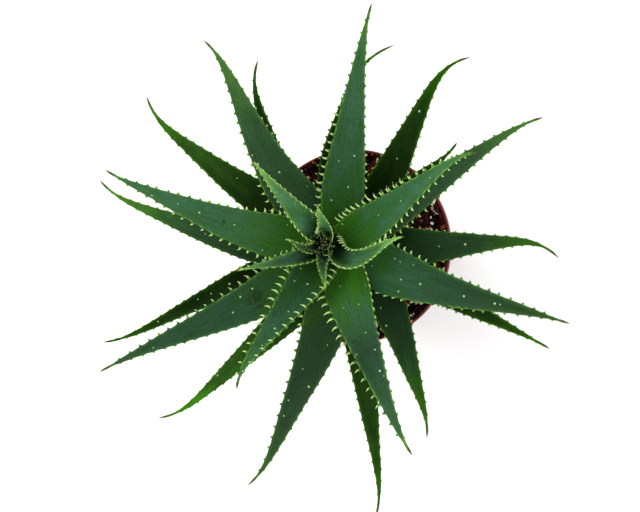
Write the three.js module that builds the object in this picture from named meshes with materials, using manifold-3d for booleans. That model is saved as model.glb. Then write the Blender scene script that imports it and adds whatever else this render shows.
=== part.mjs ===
// Potted aloe: a rosette of toothed, tapering leaves on a short leaning stem, in soil, in a round pot.
// Millimetres, +Z up. The origin is the middle of the pot's flat underside.

import * as THREE from 'three';
import { mergeVertices } from 'three/addons/utils/BufferGeometryUtils.js';
import Module from 'manifold-3d';

const wasm = await Module();
wasm.setup();

// Driving dimensions of the pot
const potRimRadius = 75;
const potHeight = 125;
const potBaseRadius = 52;
const potWall = 2.4;
const potFootRound = 2;
const potFloorCorner = 4;
const collarHeight = 13;
const collarStep = 2.6;
const collarRound = 1.2;
const collarBlend = 2;
const lipThickness = 3;
const lipRound = 1.5;
const potSides = 48;
const drainHoleCount = 6;
const drainHoleRadius = 5;
const drainCircleRadius = 36;
const drainHoleSides = 12;

// Driving dimensions of the soil
const soilLevel = 112;
const soilEdgeDrop = 3;
const soilEdgeBand = 2;
const soilFootHeight = 7;
const soilMiddleRadius = 18.5;
const soilRings = 8;
const soilLumpHeight = 3.4;

// Driving dimensions of the stem; its outline gives heights, and shares of the radius of its foot
const stemFoot = 88;
const stemRadius = 12.5;
const stemOutline = [[120, 1], [140, 0.92], [162, 0.84], [184, 0.66], [199, 0.48]];
const stemTop = 204;
const stemTopShare = 0.28;
const stemSides = 16;
const leanStart = 116;
const crownHeight = 197;
const crownShiftX = -9;
const crownShiftY = 2;
const leanPower = 1.3;

// Clearance kept between pieces that touch
const clearance = 0.3;

// How a blade is shaped, as shares of its length and width
const bladeStations = [0, 0.07, 0.16, 0.27, 0.4, 0.54, 0.68, 0.82, 0.92, 0.97];
const lastStation = bladeStations[bladeStations.length - 1];
const rootRadius = 5;
const taperScale = 1.36;
const taperPower = 1.15;
const waistDepth = 0.4;
const waistReach = 0.15;
const thicknessShare = 0.25;
const thinningPower = 0.8;
const tipThickness = 1.4;
const marginThickness = 1.2;
const flankShare = 0.62;
const flankDepth = 0.78;
const hookStart = 0.6;
const hookPower = 5;
const frameStep = 0.01;
const lengthSteps = 16;

// The largest values of share x (1 - share), and of share x (1 - share) squared
const archPeak = 1 / 4;
const sweepPeak = 4 / 27;

// The teeth along both margins of a blade
const toothPitch = 10;
const toothLength = 3.8;
const toothBase = 2.8;
const toothLean = 1.5;
const toothShrink = 0.4;
const firstTooth = 0.1;
const lastTooth = 0.93;
const fullToothWidth = 30;
const sideStagger = 0.4;

// Colours, and roughness from 0 to 1
const terracotta = 0x8a3a28;
const darkBark = 0x2e1a12;
const dryGreen = 0x6f6a45;
const oldLeafGreen = 0x1d4a25;
const youngLeafGreen = 0x4f8a4a;
const potRoughness = 0.5;
const soilRoughness = 0.95;
const stemRoughness = 0.7;
const leafRoughness = 0.5;

// Points closer than this are one point
const mergeDistance = 0.001;

// Factors that scatter the repeatable random numbers
const scatterFirst = 12.9898;
const scatterSecond = 78.233;
const scatterAll = 43758.5453;

// The rosette, from the heart outwards and downwards. Degrees and millimetres:
// name, heading, height on the stem, reach, rise, arch, sweep, hook, width, fold
const leafTable = [
  ['heart_leaf_1', 60, 201, 9, 40, 1, 1, 0, 6.5, 0.5],
  ['heart_leaf_2', 200, 200, 10, 34, 1, 1, 0, 6.5, 0.5],
  ['heart_leaf_3', 320, 199, 13, 42, 1, -2, 0, 7, 0.5],
  ['inner_leaf_1', 80, 198, 25, 60, 3, -2, 0, 9.5, 0.5],
  ['inner_leaf_2', 283, 196, 34, 50, 4, -2, 0, 9, 0.5],
  ['inner_leaf_3', 174, 194, 22, 48, 3, 5, 0, 7.5, 0.5],
  ['inner_leaf_4', 3, 190, 63.5, 80, 9, -12, 0, 16, 0.9],
  ['inner_leaf_5', 125, 187, 67, 88, 8, 1, 0, 17, 0.35],
  ['inner_leaf_6', 199, 184, 60, 62, 8, 3, 0, 13, 0.5],
  ['upper_leaf_1', 30.5, 180, 124, 92, 12, -4, -6, 27, 0.2],
  ['upper_leaf_2', 239, 178, 113, 80, 12, 2, 5, 28, 0.5],
  ['upper_leaf_3', 293.5, 174, 156, 80, 12, -2, 3, 33, 0.12],
  ['upper_leaf_4', 78.5, 167, 167, 76, 12, 0, -2, 32, 0.14],
  ['upper_leaf_5', 342, 164, 176, 58, 16, -6, 0, 36, 0.12],
  ['upper_leaf_6', 163, 160, 172, 60, 16, 8, -4, 33, 0.12],
  ['upper_leaf_7', 208.5, 157, 196, 52, 16, 7, 0, 35, 0.14],
  ['middle_leaf_1', 32, 153, 172, 60, 12, -1, -5, 29, 0.16],
  ['middle_leaf_2', 253, 151, 186, 48, 15, 8, -10, 38, 0.14],
  ['middle_leaf_3', 121, 149, 176, 58, 16, 11, 5, 36, 0.14],
  ['lower_leaf_1', 1.5, 145, 158, 34, 16, -3, -14, 32, 0.16],
  ['lower_leaf_2', 39, 141, 113, 44, 10, 4, 3, 22, 0.2],
  ['lower_leaf_3', 297, 139, 154, 32, 16, 10, -8, 32, 0.16],
  ['lower_leaf_4', 146.5, 137, 188, 34, 16, 6, -12, 32, 0.18],
  ['lower_leaf_5', 226, 135, 194, 30, 16, 5, -12, 29, 0.16],
  ['lower_leaf_6', 60.5, 133, 165, 40, 16, -4, -15, 31, 0.18],
  ['lower_leaf_7', 168.5, 131, 199, 28, 14, 14, -12, 29, 0.16],
  ['lower_leaf_8', 278.5, 129, 204, 28, 16, 0, -8, 29, 0.16],
  ['lower_leaf_9', 120.5, 127, 155, 34, 14, 16, -14, 27, 0.2],
  ['lower_leaf_10', 202.5, 125, 208, 24, 14, -7, -5, 26, 0.16],
  ['lower_leaf_11', 86, 124, 152, 32, 14, 16, -26, 25, 0.2],
  ['lower_leaf_12', 333.5, 122, 168, 26, 14, 0, -1, 27, 0.16],
];

const leaves = leafTable.map(([name, heading, height, reach, rise, arch, sweep, hook, width, fold]) => ({
  name,
  heading: THREE.MathUtils.degToRad(heading),
  height,
  reach,
  rise,
  arch,
  sweep,
  hook,
  width,
  fold,
}));

// A repeatable number from 0 to 1 for a pair of whole numbers
function steadyRandom(first, second) {
  const wave = Math.sin(first * scatterFirst + second * scatterSecond) * scatterAll;
  return wave - Math.floor(wave);
}

// The geometry with shared vertices merged, collapsed faces dropped and its faces pointing out
function tidyGeometry(geometry) {
  const bare = geometry.clone();
  bare.deleteAttribute('normal');
  bare.deleteAttribute('uv');
  const merged = mergeVertices(bare, mergeDistance);
  const source = merged.index.array;
  const kept = [];
  for (let i = 0; i < source.length; i += 3) {
    const [a, b, c] = [source[i], source[i + 1], source[i + 2]];
    if (a !== b && b !== c && c !== a) {
      kept.push(a, b, c);
    }
  }
  if (signedVolume(merged.attributes.position, kept) < 0) {
    kept.reverse();
  }
  merged.setIndex(kept);
  return merged;
}

function signedVolume(position, triangles) {
  const corners = [new THREE.Vector3(), new THREE.Vector3(), new THREE.Vector3()];
  let sum = 0;
  for (let i = 0; i < triangles.length; i += 3) {
    corners.forEach((corner, k) => corner.fromBufferAttribute(position, triangles[i + k]));
    sum += corners[0].dot(corners[1].clone().cross(corners[2])) / 6;
  }
  return sum;
}

function toSolid(geometry) {
  const tidy = tidyGeometry(geometry);
  const vertProperties = Float32Array.from(tidy.attributes.position.array);
  const triVerts = Uint32Array.from(tidy.index.array);
  return new wasm.Manifold(new wasm.Mesh({ numProp: 3, vertProperties, triVerts }));
}

function toGeometry(solid) {
  const mesh = solid.getMesh();
  const geometry = new THREE.BufferGeometry();
  geometry.setAttribute('position', new THREE.BufferAttribute(Float32Array.from(mesh.vertProperties), 3));
  geometry.setIndex(Array.from(mesh.triVerts));
  return geometry;
}

// The biggest connected body of a mesh, so that loose scraps left by a cut are dropped
function largestBody(geometry) {
  const merged = tidyGeometry(geometry);
  const triangles = merged.index.array;
  const owner = Array.from({ length: merged.attributes.position.count }, (_, i) => i);
  const find = (i) => {
    while (owner[i] !== i) {
      owner[i] = owner[owner[i]];
      i = owner[i];
    }
    return i;
  };
  for (let i = 0; i < triangles.length; i += 3) {
    owner[find(triangles[i])] = find(triangles[i + 1]);
    owner[find(triangles[i + 1])] = find(triangles[i + 2]);
  }
  const bodies = new Map();
  for (let i = 0; i < triangles.length; i += 3) {
    const body = find(triangles[i]);
    if (!bodies.has(body)) {
      bodies.set(body, []);
    }
    bodies.get(body).push(triangles[i], triangles[i + 1], triangles[i + 2]);
  }
  const position = merged.attributes.position;
  const volumes = [...bodies.values()].map((body) => [signedVolume(position, body), body]);
  volumes.sort((first, second) => second[0] - first[0]);
  const result = new THREE.BufferGeometry();
  result.setAttribute('position', position);
  result.setIndex(volumes[0][1]);
  return result;
}

function turnUpright(geometry) {
  geometry.rotateX(Math.PI / 2);
  return geometry;
}

function latheAroundZ(outline, sides) {
  const points = outline.map(([radius, height]) => new THREE.Vector2(radius, height));
  return turnUpright(new THREE.LatheGeometry(points, sides));
}

function uprightCylinder(radius, bottom, top, sides, x = 0, y = 0) {
  const cylinder = turnUpright(new THREE.CylinderGeometry(radius, radius, top - bottom, sides));
  cylinder.translate(x, y, (bottom + top) / 2);
  return cylinder;
}

function material(name, color, roughness) {
  return new THREE.MeshStandardMaterial({ name, color, roughness, metalness: 0 });
}

// Where the stem's middle line stands at a height
function stemAxis(height) {
  const climb = Math.max(0, (height - leanStart) / (crownHeight - leanStart)) ** leanPower;
  return new THREE.Vector3(crownShiftX * climb, crownShiftY * climb, height);
}

function potInnerRadius(height) {
  const wallTop = potHeight - collarHeight;
  const taper = (potRimRadius - collarStep - potBaseRadius) / wallTop;
  return potBaseRadius + taper * Math.min(height, wallTop) - potWall;
}

// The pot's wall, collar and floor, as one outline turned round its axis
function potShell() {
  const wallTop = potHeight - collarHeight;
  const underCollar = potRimRadius - collarStep;
  const lipInner = potRimRadius - lipThickness;
  const outline = [
    [0, 0],
    [potBaseRadius - potFootRound, 0],
    [potBaseRadius, potFootRound],
    [underCollar, wallTop],
    [potRimRadius - collarRound / 2, wallTop + collarRound],
    [potRimRadius, potHeight - lipRound],
    [potRimRadius - lipRound / 2, potHeight],
    [lipInner + lipRound / 2, potHeight],
    [lipInner, potHeight - lipRound],
    [lipInner - collarRound / 2, wallTop + collarBlend],
    [potInnerRadius(wallTop), wallTop - collarBlend],
    [potInnerRadius(potFloorCorner), potFloorCorner],
    [potInnerRadius(potFloorCorner) - potFootRound, potWall],
    [0, potWall],
  ];
  return toSolid(latheAroundZ(outline, potSides));
}

function potGeometry() {
  let solid = potShell();
  for (let i = 0; i < drainHoleCount; i += 1) {
    const turn = (i / drainHoleCount) * Math.PI * 2;
    const x = drainCircleRadius * Math.cos(turn);
    const y = drainCircleRadius * Math.sin(turn);
    const hole = uprightCylinder(drainHoleRadius, -potWall, 2 * potWall, drainHoleSides, x, y);
    solid = solid.subtract(toSolid(hole));
  }
  return toGeometry(solid);
}

// The soil as a plug that fills the pot, with rings of points across its top
function soilPlug() {
  const bottom = potWall + clearance;
  const edgeLevel = soilLevel - soilEdgeDrop;
  const topRadius = potInnerRadius(edgeLevel) - clearance;
  const outline = [
    [0, bottom],
    [potInnerRadius(potFloorCorner) - potFootRound - clearance, bottom],
    [potInnerRadius(soilFootHeight) - clearance, soilFootHeight],
    [topRadius, edgeLevel],
  ];
  for (let ring = 0; ring < soilRings; ring += 1) {
    const outer = topRadius - soilEdgeBand;
    const radius = outer - (ring * (outer - soilMiddleRadius)) / (soilRings - 1);
    outline.push([radius, soilLevel]);
  }
  outline.push([0, soilLevel]);
  return tidyGeometry(latheAroundZ(outline, potSides));
}

// The plug with a lumpy top, and a plain hole for the stem
function soilGeometry() {
  const plug = soilPlug();
  const position = plug.attributes.position;
  for (let i = 0; i < position.count; i += 1) {
    if (position.getZ(i) > soilLevel - soilEdgeDrop / 2) {
      const lump = steadyRandom(Math.round(position.getX(i)), Math.round(position.getY(i)));
      position.setZ(i, soilLevel + soilLumpHeight * (lump - 1 / 2));
    }
  }
  const hole = uprightCylinder(stemRadius + clearance, stemFoot - clearance, potHeight, stemSides);
  return toGeometry(toSolid(plug).subtract(toSolid(hole)));
}

// The stem leans as it rises, and narrows to a blunt crown inside the youngest leaves
function stemGeometry(swell) {
  const outline = [
    [0, stemFoot - swell],
    [stemRadius + swell, stemFoot - swell],
    ...stemOutline.map(([height, share]) => [stemRadius * share + swell, height]),
    [stemRadius * stemTopShare + swell, stemTop + swell],
    [0, stemTop + swell],
  ];
  const stem = tidyGeometry(latheAroundZ(outline, stemSides));
  const position = stem.attributes.position;
  for (let i = 0; i < position.count; i += 1) {
    const axis = stemAxis(position.getZ(i));
    position.setX(i, position.getX(i) + axis.x);
    position.setY(i, position.getY(i) + axis.y);
  }
  return stem;
}

// A point on the middle of a leaf's upper face, at a share of its length
function midrib(leaf, share) {
  const point = stemAxis(leaf.height);
  const along = rootRadius + (leaf.reach - rootRadius) * share;
  const bend = (leaf.sweep * share * (1 - share) ** 2) / sweepPeak;
  const curl = leaf.hook * Math.max(0, (share - hookStart) / (1 - hookStart)) ** hookPower;
  const aside = bend + curl;
  point.x += Math.cos(leaf.heading) * along - Math.sin(leaf.heading) * aside;
  point.y += Math.sin(leaf.heading) * along + Math.cos(leaf.heading) * aside;
  point.z += leaf.rise * share + (leaf.arch * share * (1 - share)) / archPeak;
  return point;
}

// The leaf's own directions at a share of its length: across to the left, and up out of its face
function bladeFrame(leaf, share) {
  const ahead = midrib(leaf, share + frameStep).sub(midrib(leaf, share - frameStep)).normalize();
  const left = new THREE.Vector3(0, 0, 1).cross(ahead).normalize();
  return { left, up: ahead.cross(left) };
}

function halfWidth(leaf, share) {
  const inside = Math.min(Math.max(share, 0), 1);
  const waist = 1 - waistDepth * Math.exp(-((inside / waistReach) ** 2));
  return (leaf.width / 2) * taperScale * (1 - inside) ** taperPower * waist;
}

function bladeThickness(leaf, share) {
  const inside = Math.min(Math.max(share, 0), 1);
  return tipThickness + (thicknessShare * leaf.width - tipThickness) * (1 - inside) ** thinningPower;
}

function bladeLength(leaf) {
  let length = 0;
  for (let i = 0; i < lengthSteps; i += 1) {
    const next = midrib(leaf, (i + 1) / lengthSteps);
    length += midrib(leaf, i / lengthSteps).distanceTo(next);
  }
  return length;
}

// The place of each tooth along one margin, as a share of the leaf's length, and its size
function toothPlaces(leaf, side) {
  const length = bladeLength(leaf);
  const count = Math.round(((lastTooth - firstTooth) * length) / toothPitch);
  const places = [];
  for (let i = 0; i < count; i += 1) {
    const stagger = side > 0 ? sideStagger : 0;
    const share = firstTooth + ((lastTooth - firstTooth) * (i + stagger)) / count;
    const size = (1 - toothShrink * share) * Math.sqrt(Math.min(1, leaf.width / fullToothWidth));
    places.push({ share, size, half: (toothBase * size) / 2 });
  }
  return places;
}

// An empty surface for one leaf, whose points are placed by their share of the leaf's length
function emptySurface(leaf) {
  const length = bladeLength(leaf);
  const points = [];
  const triangles = [];

  // A shift moves the point along the leaf, in millimetres
  const addPoint = (share, across, above, shift = 0) => {
    const place = share + shift / length;
    const { left, up } = bladeFrame(leaf, place);
    const point = midrib(leaf, place).addScaledVector(left, across).addScaledVector(up, above);
    points.push(point.x, point.y, point.z);
    return { index: points.length / 3 - 1, share };
  };
  const addFace = (a, b, c) => {
    if (a.index !== b.index && b.index !== c.index && c.index !== a.index) {
      triangles.push(a.index, b.index, c.index);
    }
  };
  return { length, points, triangles, addPoint, addFace };
}

// Fills the strip between two lengthwise lines, stepping along whichever is behind
function fillStrip(surface, first, second) {
  let i = 0;
  let j = 0;
  while (i < first.length - 1 || j < second.length - 1) {
    const nextFirst = i < first.length - 1 ? first[i + 1].share : Infinity;
    const nextSecond = j < second.length - 1 ? second[j + 1].share : Infinity;
    if (nextFirst <= nextSecond) {
      surface.addFace(first[i], first[i + 1], second[j]);
      i += 1;
    } else {
      surface.addFace(first[i], second[j + 1], second[j]);
      j += 1;
    }
  }
}

// Fills a margin between its two edges, with a four-sided tooth on every other stretch
function fillMargin(surface, first, second, apexes) {
  for (let i = 0; i < first.length - 1; i += 1) {
    const corners = [first[i], first[i + 1], second[i + 1], second[i]];
    const apex = i % 2 === 1 ? apexes[(i - 1) / 2] : undefined;
    if (apex) {
      corners.forEach((corner, k) => surface.addFace(corner, corners[(k + 1) % corners.length], apex));
    } else {
      surface.addFace(corners[0], corners[1], corners[2]);
      surface.addFace(corners[0], corners[2], corners[3]);
    }
  }
}

// One margin of a blade: its upper edge, its lower edge, and the point of each tooth on it
function bladeMargin(leaf, surface, side, swell, tip) {
  const places = toothPlaces(leaf, side);
  const cup = (share) => leaf.fold * halfWidth(leaf, share);
  const addEdgePoint = (share, above, shift) => {
    const across = side * (halfWidth(leaf, share) + swell);
    return surface.addPoint(share, across, cup(share) + above, shift);
  };
  const edge = (above) => {
    const list = [addEdgePoint(0, above, -swell)];
    places.forEach(({ share, half }) => {
      list.push(addEdgePoint(share - half / surface.length, above, -swell));
      list.push(addEdgePoint(share + half / surface.length, above, swell));
    });
    list.push(addEdgePoint(lastStation, above, 0), tip);
    return list;
  };
  const apexes = places.map(({ share, size }) => {
    const across = side * (halfWidth(leaf, share) + toothLength * size + 2 * swell);
    const above = cup(share) - marginThickness / 2;
    return surface.addPoint(share, across, above, toothLean * size + swell);
  });
  return { upper: edge(swell), lower: edge(-marginThickness - swell), apexes };
}

// A lengthwise line along the body of a blade, from its root to its tip
function bodyLine(surface, swell, tip, across, above) {
  const list = bladeStations.map((share, i) => {
    const shift = i === 0 ? -swell : 0;
    return surface.addPoint(share, across(share), above(share), shift);
  });
  return [...list, tip];
}

// One blade as a closed mesh: a shallow channel above, a keeled back below, and toothed margins.
// A swell above zero gives the same blade grown by that much all round.
function bladeGeometry(leaf, swell) {
  const surface = emptySurface(leaf);
  const tip = surface.addPoint(1, 0, -tipThickness / 2, 2 * swell);
  const span = (share) => flankShare * (halfWidth(leaf, share) + swell);
  const depth = (share) => bladeThickness(leaf, share) + swell;
  const flank = (share) => flankShare * leaf.fold * halfWidth(leaf, share) - flankDepth * depth(share);

  const left = bladeMargin(leaf, surface, 1, swell, tip);
  const right = bladeMargin(leaf, surface, -1, swell, tip);
  const middle = bodyLine(surface, swell, tip, () => 0, () => swell);
  const rightFlank = bodyLine(surface, swell, tip, (share) => -span(share), flank);
  const keel = bodyLine(surface, swell, tip, () => 0, (share) => -depth(share));
  const leftFlank = bodyLine(surface, swell, tip, span, flank);

  fillStrip(surface, left.upper, middle);
  fillStrip(surface, middle, right.upper);
  fillMargin(surface, right.upper, right.lower, right.apexes);
  fillStrip(surface, right.lower, rightFlank);
  fillStrip(surface, rightFlank, keel);
  fillStrip(surface, keel, leftFlank);
  fillStrip(surface, leftFlank, left.lower);
  fillMargin(surface, left.lower, left.upper, left.apexes);

  const rim = [middle, right.upper, right.lower, rightFlank, keel, leftFlank, left.lower, left.upper];
  const root = rim.map((line) => line[0]);
  for (let i = 1; i < root.length - 1; i += 1) {
    surface.addFace(root[0], root[i], root[i + 1]);
  }

  const geometry = new THREE.BufferGeometry();
  geometry.setAttribute('position', new THREE.BufferAttribute(new Float32Array(surface.points), 3));
  geometry.setIndex(surface.triangles);
  return geometry;
}

// The leaves in turn from the heart down, each cut clear of the stem and of the leaves above it
function leafMeshes() {
  const taken = [toSolid(stemGeometry(clearance))];
  return leaves.map((leaf) => {
    let solid = toSolid(bladeGeometry(leaf, 0));
    taken.forEach((other) => {
      solid = solid.subtract(other);
    });
    taken.push(toSolid(bladeGeometry(leaf, clearance)));
    return namedMesh(leaf.name, largestBody(toGeometry(solid)), leafMaterial(leaf));
  });
}

function namedMesh(name, geometry, surface) {
  const mesh = new THREE.Mesh(geometry, surface);
  mesh.name = name;
  return mesh;
}

function potMaterial() {
  return material('terracotta_plastic', terracotta, potRoughness);
}

function soilMaterial() {
  return material('potting_mix', darkBark, soilRoughness);
}

function stemMaterial() {
  return material('stem_green', dryGreen, stemRoughness);
}

// The lower leaves are older and darker than the heart
function leafMaterial(leaf) {
  const youth = THREE.MathUtils.clamp((leaf.height - soilLevel) / (crownHeight - soilLevel), 0, 1);
  const color = new THREE.Color(oldLeafGreen).lerp(new THREE.Color(youngLeafGreen), youth);
  return material('leaf_green', color, leafRoughness);
}

const plant = new THREE.Group();
plant.add(namedMesh('pot', potGeometry(), potMaterial()));
plant.add(namedMesh('soil', soilGeometry(), soilMaterial()));
plant.add(namedMesh('stem', stemGeometry(0), stemMaterial()));
plant.add(...leafMeshes());

export default plant;
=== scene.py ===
# %% [markdown]
# # A potted aloe, seen from above
# The plant stands in a round pot of terracotta-coloured plastic. Its leaves come off a short leaning
# stem and open into a rosette: young, upright and blue-green in the middle, old, level and dark below.
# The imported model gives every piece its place. Here each piece is made again with finer faces, and gets
# its colour, its wax, its veins and its wear. Lengths are in millimetres until a mesh is made.

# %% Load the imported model
import math
import random

import bmesh
import bpy
from mathutils import Euler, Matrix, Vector, noise


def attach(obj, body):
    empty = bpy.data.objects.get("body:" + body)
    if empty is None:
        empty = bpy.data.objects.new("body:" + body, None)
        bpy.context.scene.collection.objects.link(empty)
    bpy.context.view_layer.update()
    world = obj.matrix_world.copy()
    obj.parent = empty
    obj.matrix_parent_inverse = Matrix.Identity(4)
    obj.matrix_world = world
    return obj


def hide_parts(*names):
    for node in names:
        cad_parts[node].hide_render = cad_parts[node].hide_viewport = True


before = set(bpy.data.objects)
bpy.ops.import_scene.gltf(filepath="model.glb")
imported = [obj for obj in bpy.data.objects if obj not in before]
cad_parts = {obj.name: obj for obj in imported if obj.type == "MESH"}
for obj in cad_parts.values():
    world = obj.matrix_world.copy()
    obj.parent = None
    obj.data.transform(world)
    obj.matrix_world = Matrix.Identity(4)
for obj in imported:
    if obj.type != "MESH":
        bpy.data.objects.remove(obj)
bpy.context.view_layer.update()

print("packed pieces:", len(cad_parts))

# %% [markdown]
# ## The camera
# The photo was taken from almost straight above, through a long lens, about a metre over the plant.
# A camera could be aimed with a tracking constraint. Here it is turned by ten degrees from straight
# down, because that one angle is what the round rim and the crown's place in the picture give.

# %% Place the camera
MM = 0.001
CAMERA_PLACE = (146.5, -7.5, 1104.4)
CAMERA_TILT = 10
CAMERA_LENS = 72
SENSOR_WIDTH = 36

camera_data = bpy.data.cameras.new("camera")
camera_data.lens = CAMERA_LENS
camera_data.sensor_width = SENSOR_WIDTH
camera = bpy.data.objects.new("camera", camera_data)
camera.location = Vector(CAMERA_PLACE) * MM
camera.rotation_euler = (0, math.radians(CAMERA_TILT), 0)
bpy.context.scene.collection.objects.link(camera)
bpy.context.scene.camera = camera
print("camera height:", CAMERA_PLACE[2], "mm, tilt:", CAMERA_TILT, "degrees")

# %% [markdown]
# ## The floor
# The plant stands on a plain pale floor. A backdrop that curves up behind would suit a view from the
# side, but this camera looks down, so a flat sheet does.

# %% Make the floor
FLOOR_SIZE = 4
FLOOR_WHITE = 0.92
FLOOR_ROUGHNESS = 0.9

floor_mesh = bpy.data.meshes.new("floor")
reach = FLOOR_SIZE / 2
corners = [(-reach, -reach, 0), (reach, -reach, 0), (reach, reach, 0), (-reach, reach, 0)]
floor_mesh.from_pydata(corners, [], [(0, 1, 2, 3)])
floor = bpy.data.objects.new("floor", floor_mesh)
bpy.context.scene.collection.objects.link(floor)

floor_paint = bpy.data.materials.new("floor_paint")
floor_paint.use_nodes = True
floor_shader = floor_paint.node_tree.nodes["Principled BSDF"]
floor_shader.inputs["Base Color"].default_value = (FLOOR_WHITE, FLOOR_WHITE, FLOOR_WHITE, 1)
floor_shader.inputs["Roughness"].default_value = FLOOR_ROUGHNESS
floor_mesh.materials.append(floor_paint)
print("floor:", FLOOR_SIZE, "m wide")

# %% [markdown]
# ## The light
# A sky of even white light fills the shade, and two wide lamps give the leaves a soft side. One small
# lamp would be simpler, but it draws hard shadows. The lamps stand well off the camera's own line, so
# that the waxy leaves keep their deep green and don't mirror a lamp straight into the lens.

# %% Set the sky and the lamps
SKY_STRENGTH = 0.7
# name, place in metres, size in metres, power in watts
LAMPS = [
    ("lamp_left", (-1.3, 0.9, 1.9), 2.2, 60),
    ("lamp_right", (1.4, -0.9, 2.0), 2.2, 46),
]

sky = bpy.data.worlds.new("sky")
sky.use_nodes = True
sky.node_tree.nodes["Background"].inputs["Color"].default_value = (1, 1, 1, 1)
sky.node_tree.nodes["Background"].inputs["Strength"].default_value = SKY_STRENGTH
bpy.context.scene.world = sky
bpy.context.scene.view_settings.view_transform = "Standard"

for name, place, size, power in LAMPS:
    lamp_data = bpy.data.lights.new(name, "AREA")
    lamp_data.size = size
    lamp_data.energy = power
    lamp = bpy.data.objects.new(name, lamp_data)
    lamp.location = place
    lamp.rotation_euler = (-Vector(place)).to_track_quat("-Z", "Y").to_euler()
    bpy.context.scene.collection.objects.link(lamp)
print("lamps:", len(LAMPS))

# %% [markdown]
# ## Wiring materials
# A material is a small net of nodes. It could be wired by hand in the shader editor, but a script can be
# run again and read, so a few short helpers do it. The first ones add a node, feed a socket, do a sum and
# take a vector apart. Colours are written as they look on screen, from 0 to 255, and turned into light.

# %% Helpers for nodes
def tint(red, green, blue):
    # the numbers are those of the screen's own curve, sRGB
    values = []
    for value in (red, green, blue):
        share = value / 255
        values.append(share / 12.92 if share <= 0.04045 else ((share + 0.055) / 1.055) ** 2.4)
    return (*values, 1)


def add_node(tree, kind, **settings):
    made = tree.nodes.new(kind)
    for name, value in settings.items():
        setattr(made, name, value)
    return made


def feed(tree, socket, value):
    if isinstance(value, bpy.types.NodeSocket):
        tree.links.new(value, socket)
    else:
        socket.default_value = value


def total(tree, operation, first, second):
    made = add_node(tree, "ShaderNodeMath", operation=operation)
    feed(tree, made.inputs[0], first)
    feed(tree, made.inputs[1], second)
    return made.outputs[0]


def opposite(tree, mask):
    return total(tree, "SUBTRACT", 1.0, mask)


def axes(tree, vector):
    made = add_node(tree, "ShaderNodeSeparateXYZ")
    feed(tree, made.inputs["Vector"], vector)
    return made.outputs


print("middle grey on screen as light:", round(tint(128, 128, 128)[0], 3))

# %% [markdown]
# Masks say where a colour goes. The next helpers make a soft-edged mask, mix two colours by a mask, make
# a colour lighter or darker, stretch space and draw a cloudy noise in it. A hard-edged mask would look
# printed, so nearly every one here fades in over a span.

# %% Helpers for masks and noises
# places of the colour sockets on a mix node, whose float and vector sockets come before them
MIX_FIRST, MIX_SECOND, MIX_RESULT = 6, 7, 2


def soft_step(tree, value, start, end):
    made = add_node(tree, "ShaderNodeMapRange", interpolation_type="SMOOTHSTEP")
    feed(tree, made.inputs["Value"], value)
    feed(tree, made.inputs["From Min"], start)
    feed(tree, made.inputs["From Max"], end)
    return made.outputs["Result"]


def mix_tints(tree, mask, first, second):
    made = add_node(tree, "ShaderNodeMix", data_type="RGBA")
    feed(tree, made.inputs[0], mask)
    feed(tree, made.inputs[MIX_FIRST], first)
    feed(tree, made.inputs[MIX_SECOND], second)
    return made.outputs[MIX_RESULT]


def lighten(tree, colour, light):
    made = add_node(tree, "ShaderNodeHueSaturation")
    feed(tree, made.inputs["Value"], light)
    feed(tree, made.inputs["Color"], colour)
    return made.outputs["Color"]


def stretch(tree, place, scale):
    made = add_node(tree, "ShaderNodeMapping")
    feed(tree, made.inputs["Vector"], place)
    made.inputs["Scale"].default_value = scale
    return made.outputs["Vector"]


def cloud(tree, place, scale, detail):
    made = add_node(tree, "ShaderNodeTexNoise")
    feed(tree, made.inputs["Vector"], place)
    feed(tree, made.inputs["Scale"], scale)
    feed(tree, made.inputs["Detail"], detail)
    return made.outputs["Fac"]


print("helpers for masks are ready")

# %% [markdown]
# The last helpers start a group of nodes, start a material, place a group in it, and turn a height into
# relief. Two more tell a finish where it is: in the piece's own space, or by the marks on its points.

# %% Helpers for groups and finishes
FLOAT, VECTOR, COLOR = "NodeSocketFloat", "NodeSocketVector", "NodeSocketColor"


def start_group(name, inputs, outputs):
    group = bpy.data.node_groups.new(name, "ShaderNodeTree")
    for label, kind in inputs:
        group.interface.new_socket(name=label, in_out="INPUT", socket_type=kind)
    for label, kind in outputs:
        group.interface.new_socket(name=label, in_out="OUTPUT", socket_type=kind)
    return group, add_node(group, "NodeGroupInput").outputs, add_node(group, "NodeGroupOutput").inputs


def start_material(name, roughness, shine):
    made = bpy.data.materials.new(name)
    made.use_nodes = True
    shader = made.node_tree.nodes["Principled BSDF"]
    shader.inputs["Roughness"].default_value = roughness
    shader.inputs["Specular IOR Level"].default_value = shine
    return made, made.node_tree, shader


def place_group(tree, group, values):
    made = add_node(tree, "ShaderNodeGroup", node_tree=group)
    for label, value in values.items():
        feed(tree, made.inputs[label], value)
    return made.outputs


def relief(tree, shader, height, depth):
    made = add_node(tree, "ShaderNodeBump")
    feed(tree, made.inputs["Distance"], depth)
    feed(tree, made.inputs["Height"], height)
    tree.links.new(made.outputs["Normal"], shader.inputs["Normal"])


def own_place(tree):
    return add_node(tree, "ShaderNodeTexCoord").outputs["Object"]


def read_marks(tree, name):
    return add_node(tree, "ShaderNodeAttribute", attribute_name=name).outputs["Vector"]


print("helpers for groups and finishes are ready")

# %% [markdown]
# ## Shared effects
# Three effects turn up on more than one finish. Each is a group of nodes, built once, and each finish
# feeds it other numbers. The first is mottling, the cloudy unevenness of anything that grew, was moulded
# or lies in the damp. A painted picture could hold it but would show seams, so a broad and a fine noise
# are added in the piece's own space.

# %% Mottling
BROAD_DETAIL = 3.0
FINE_DETAIL = 2.0
FINE_TIMES = 7.3

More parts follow.
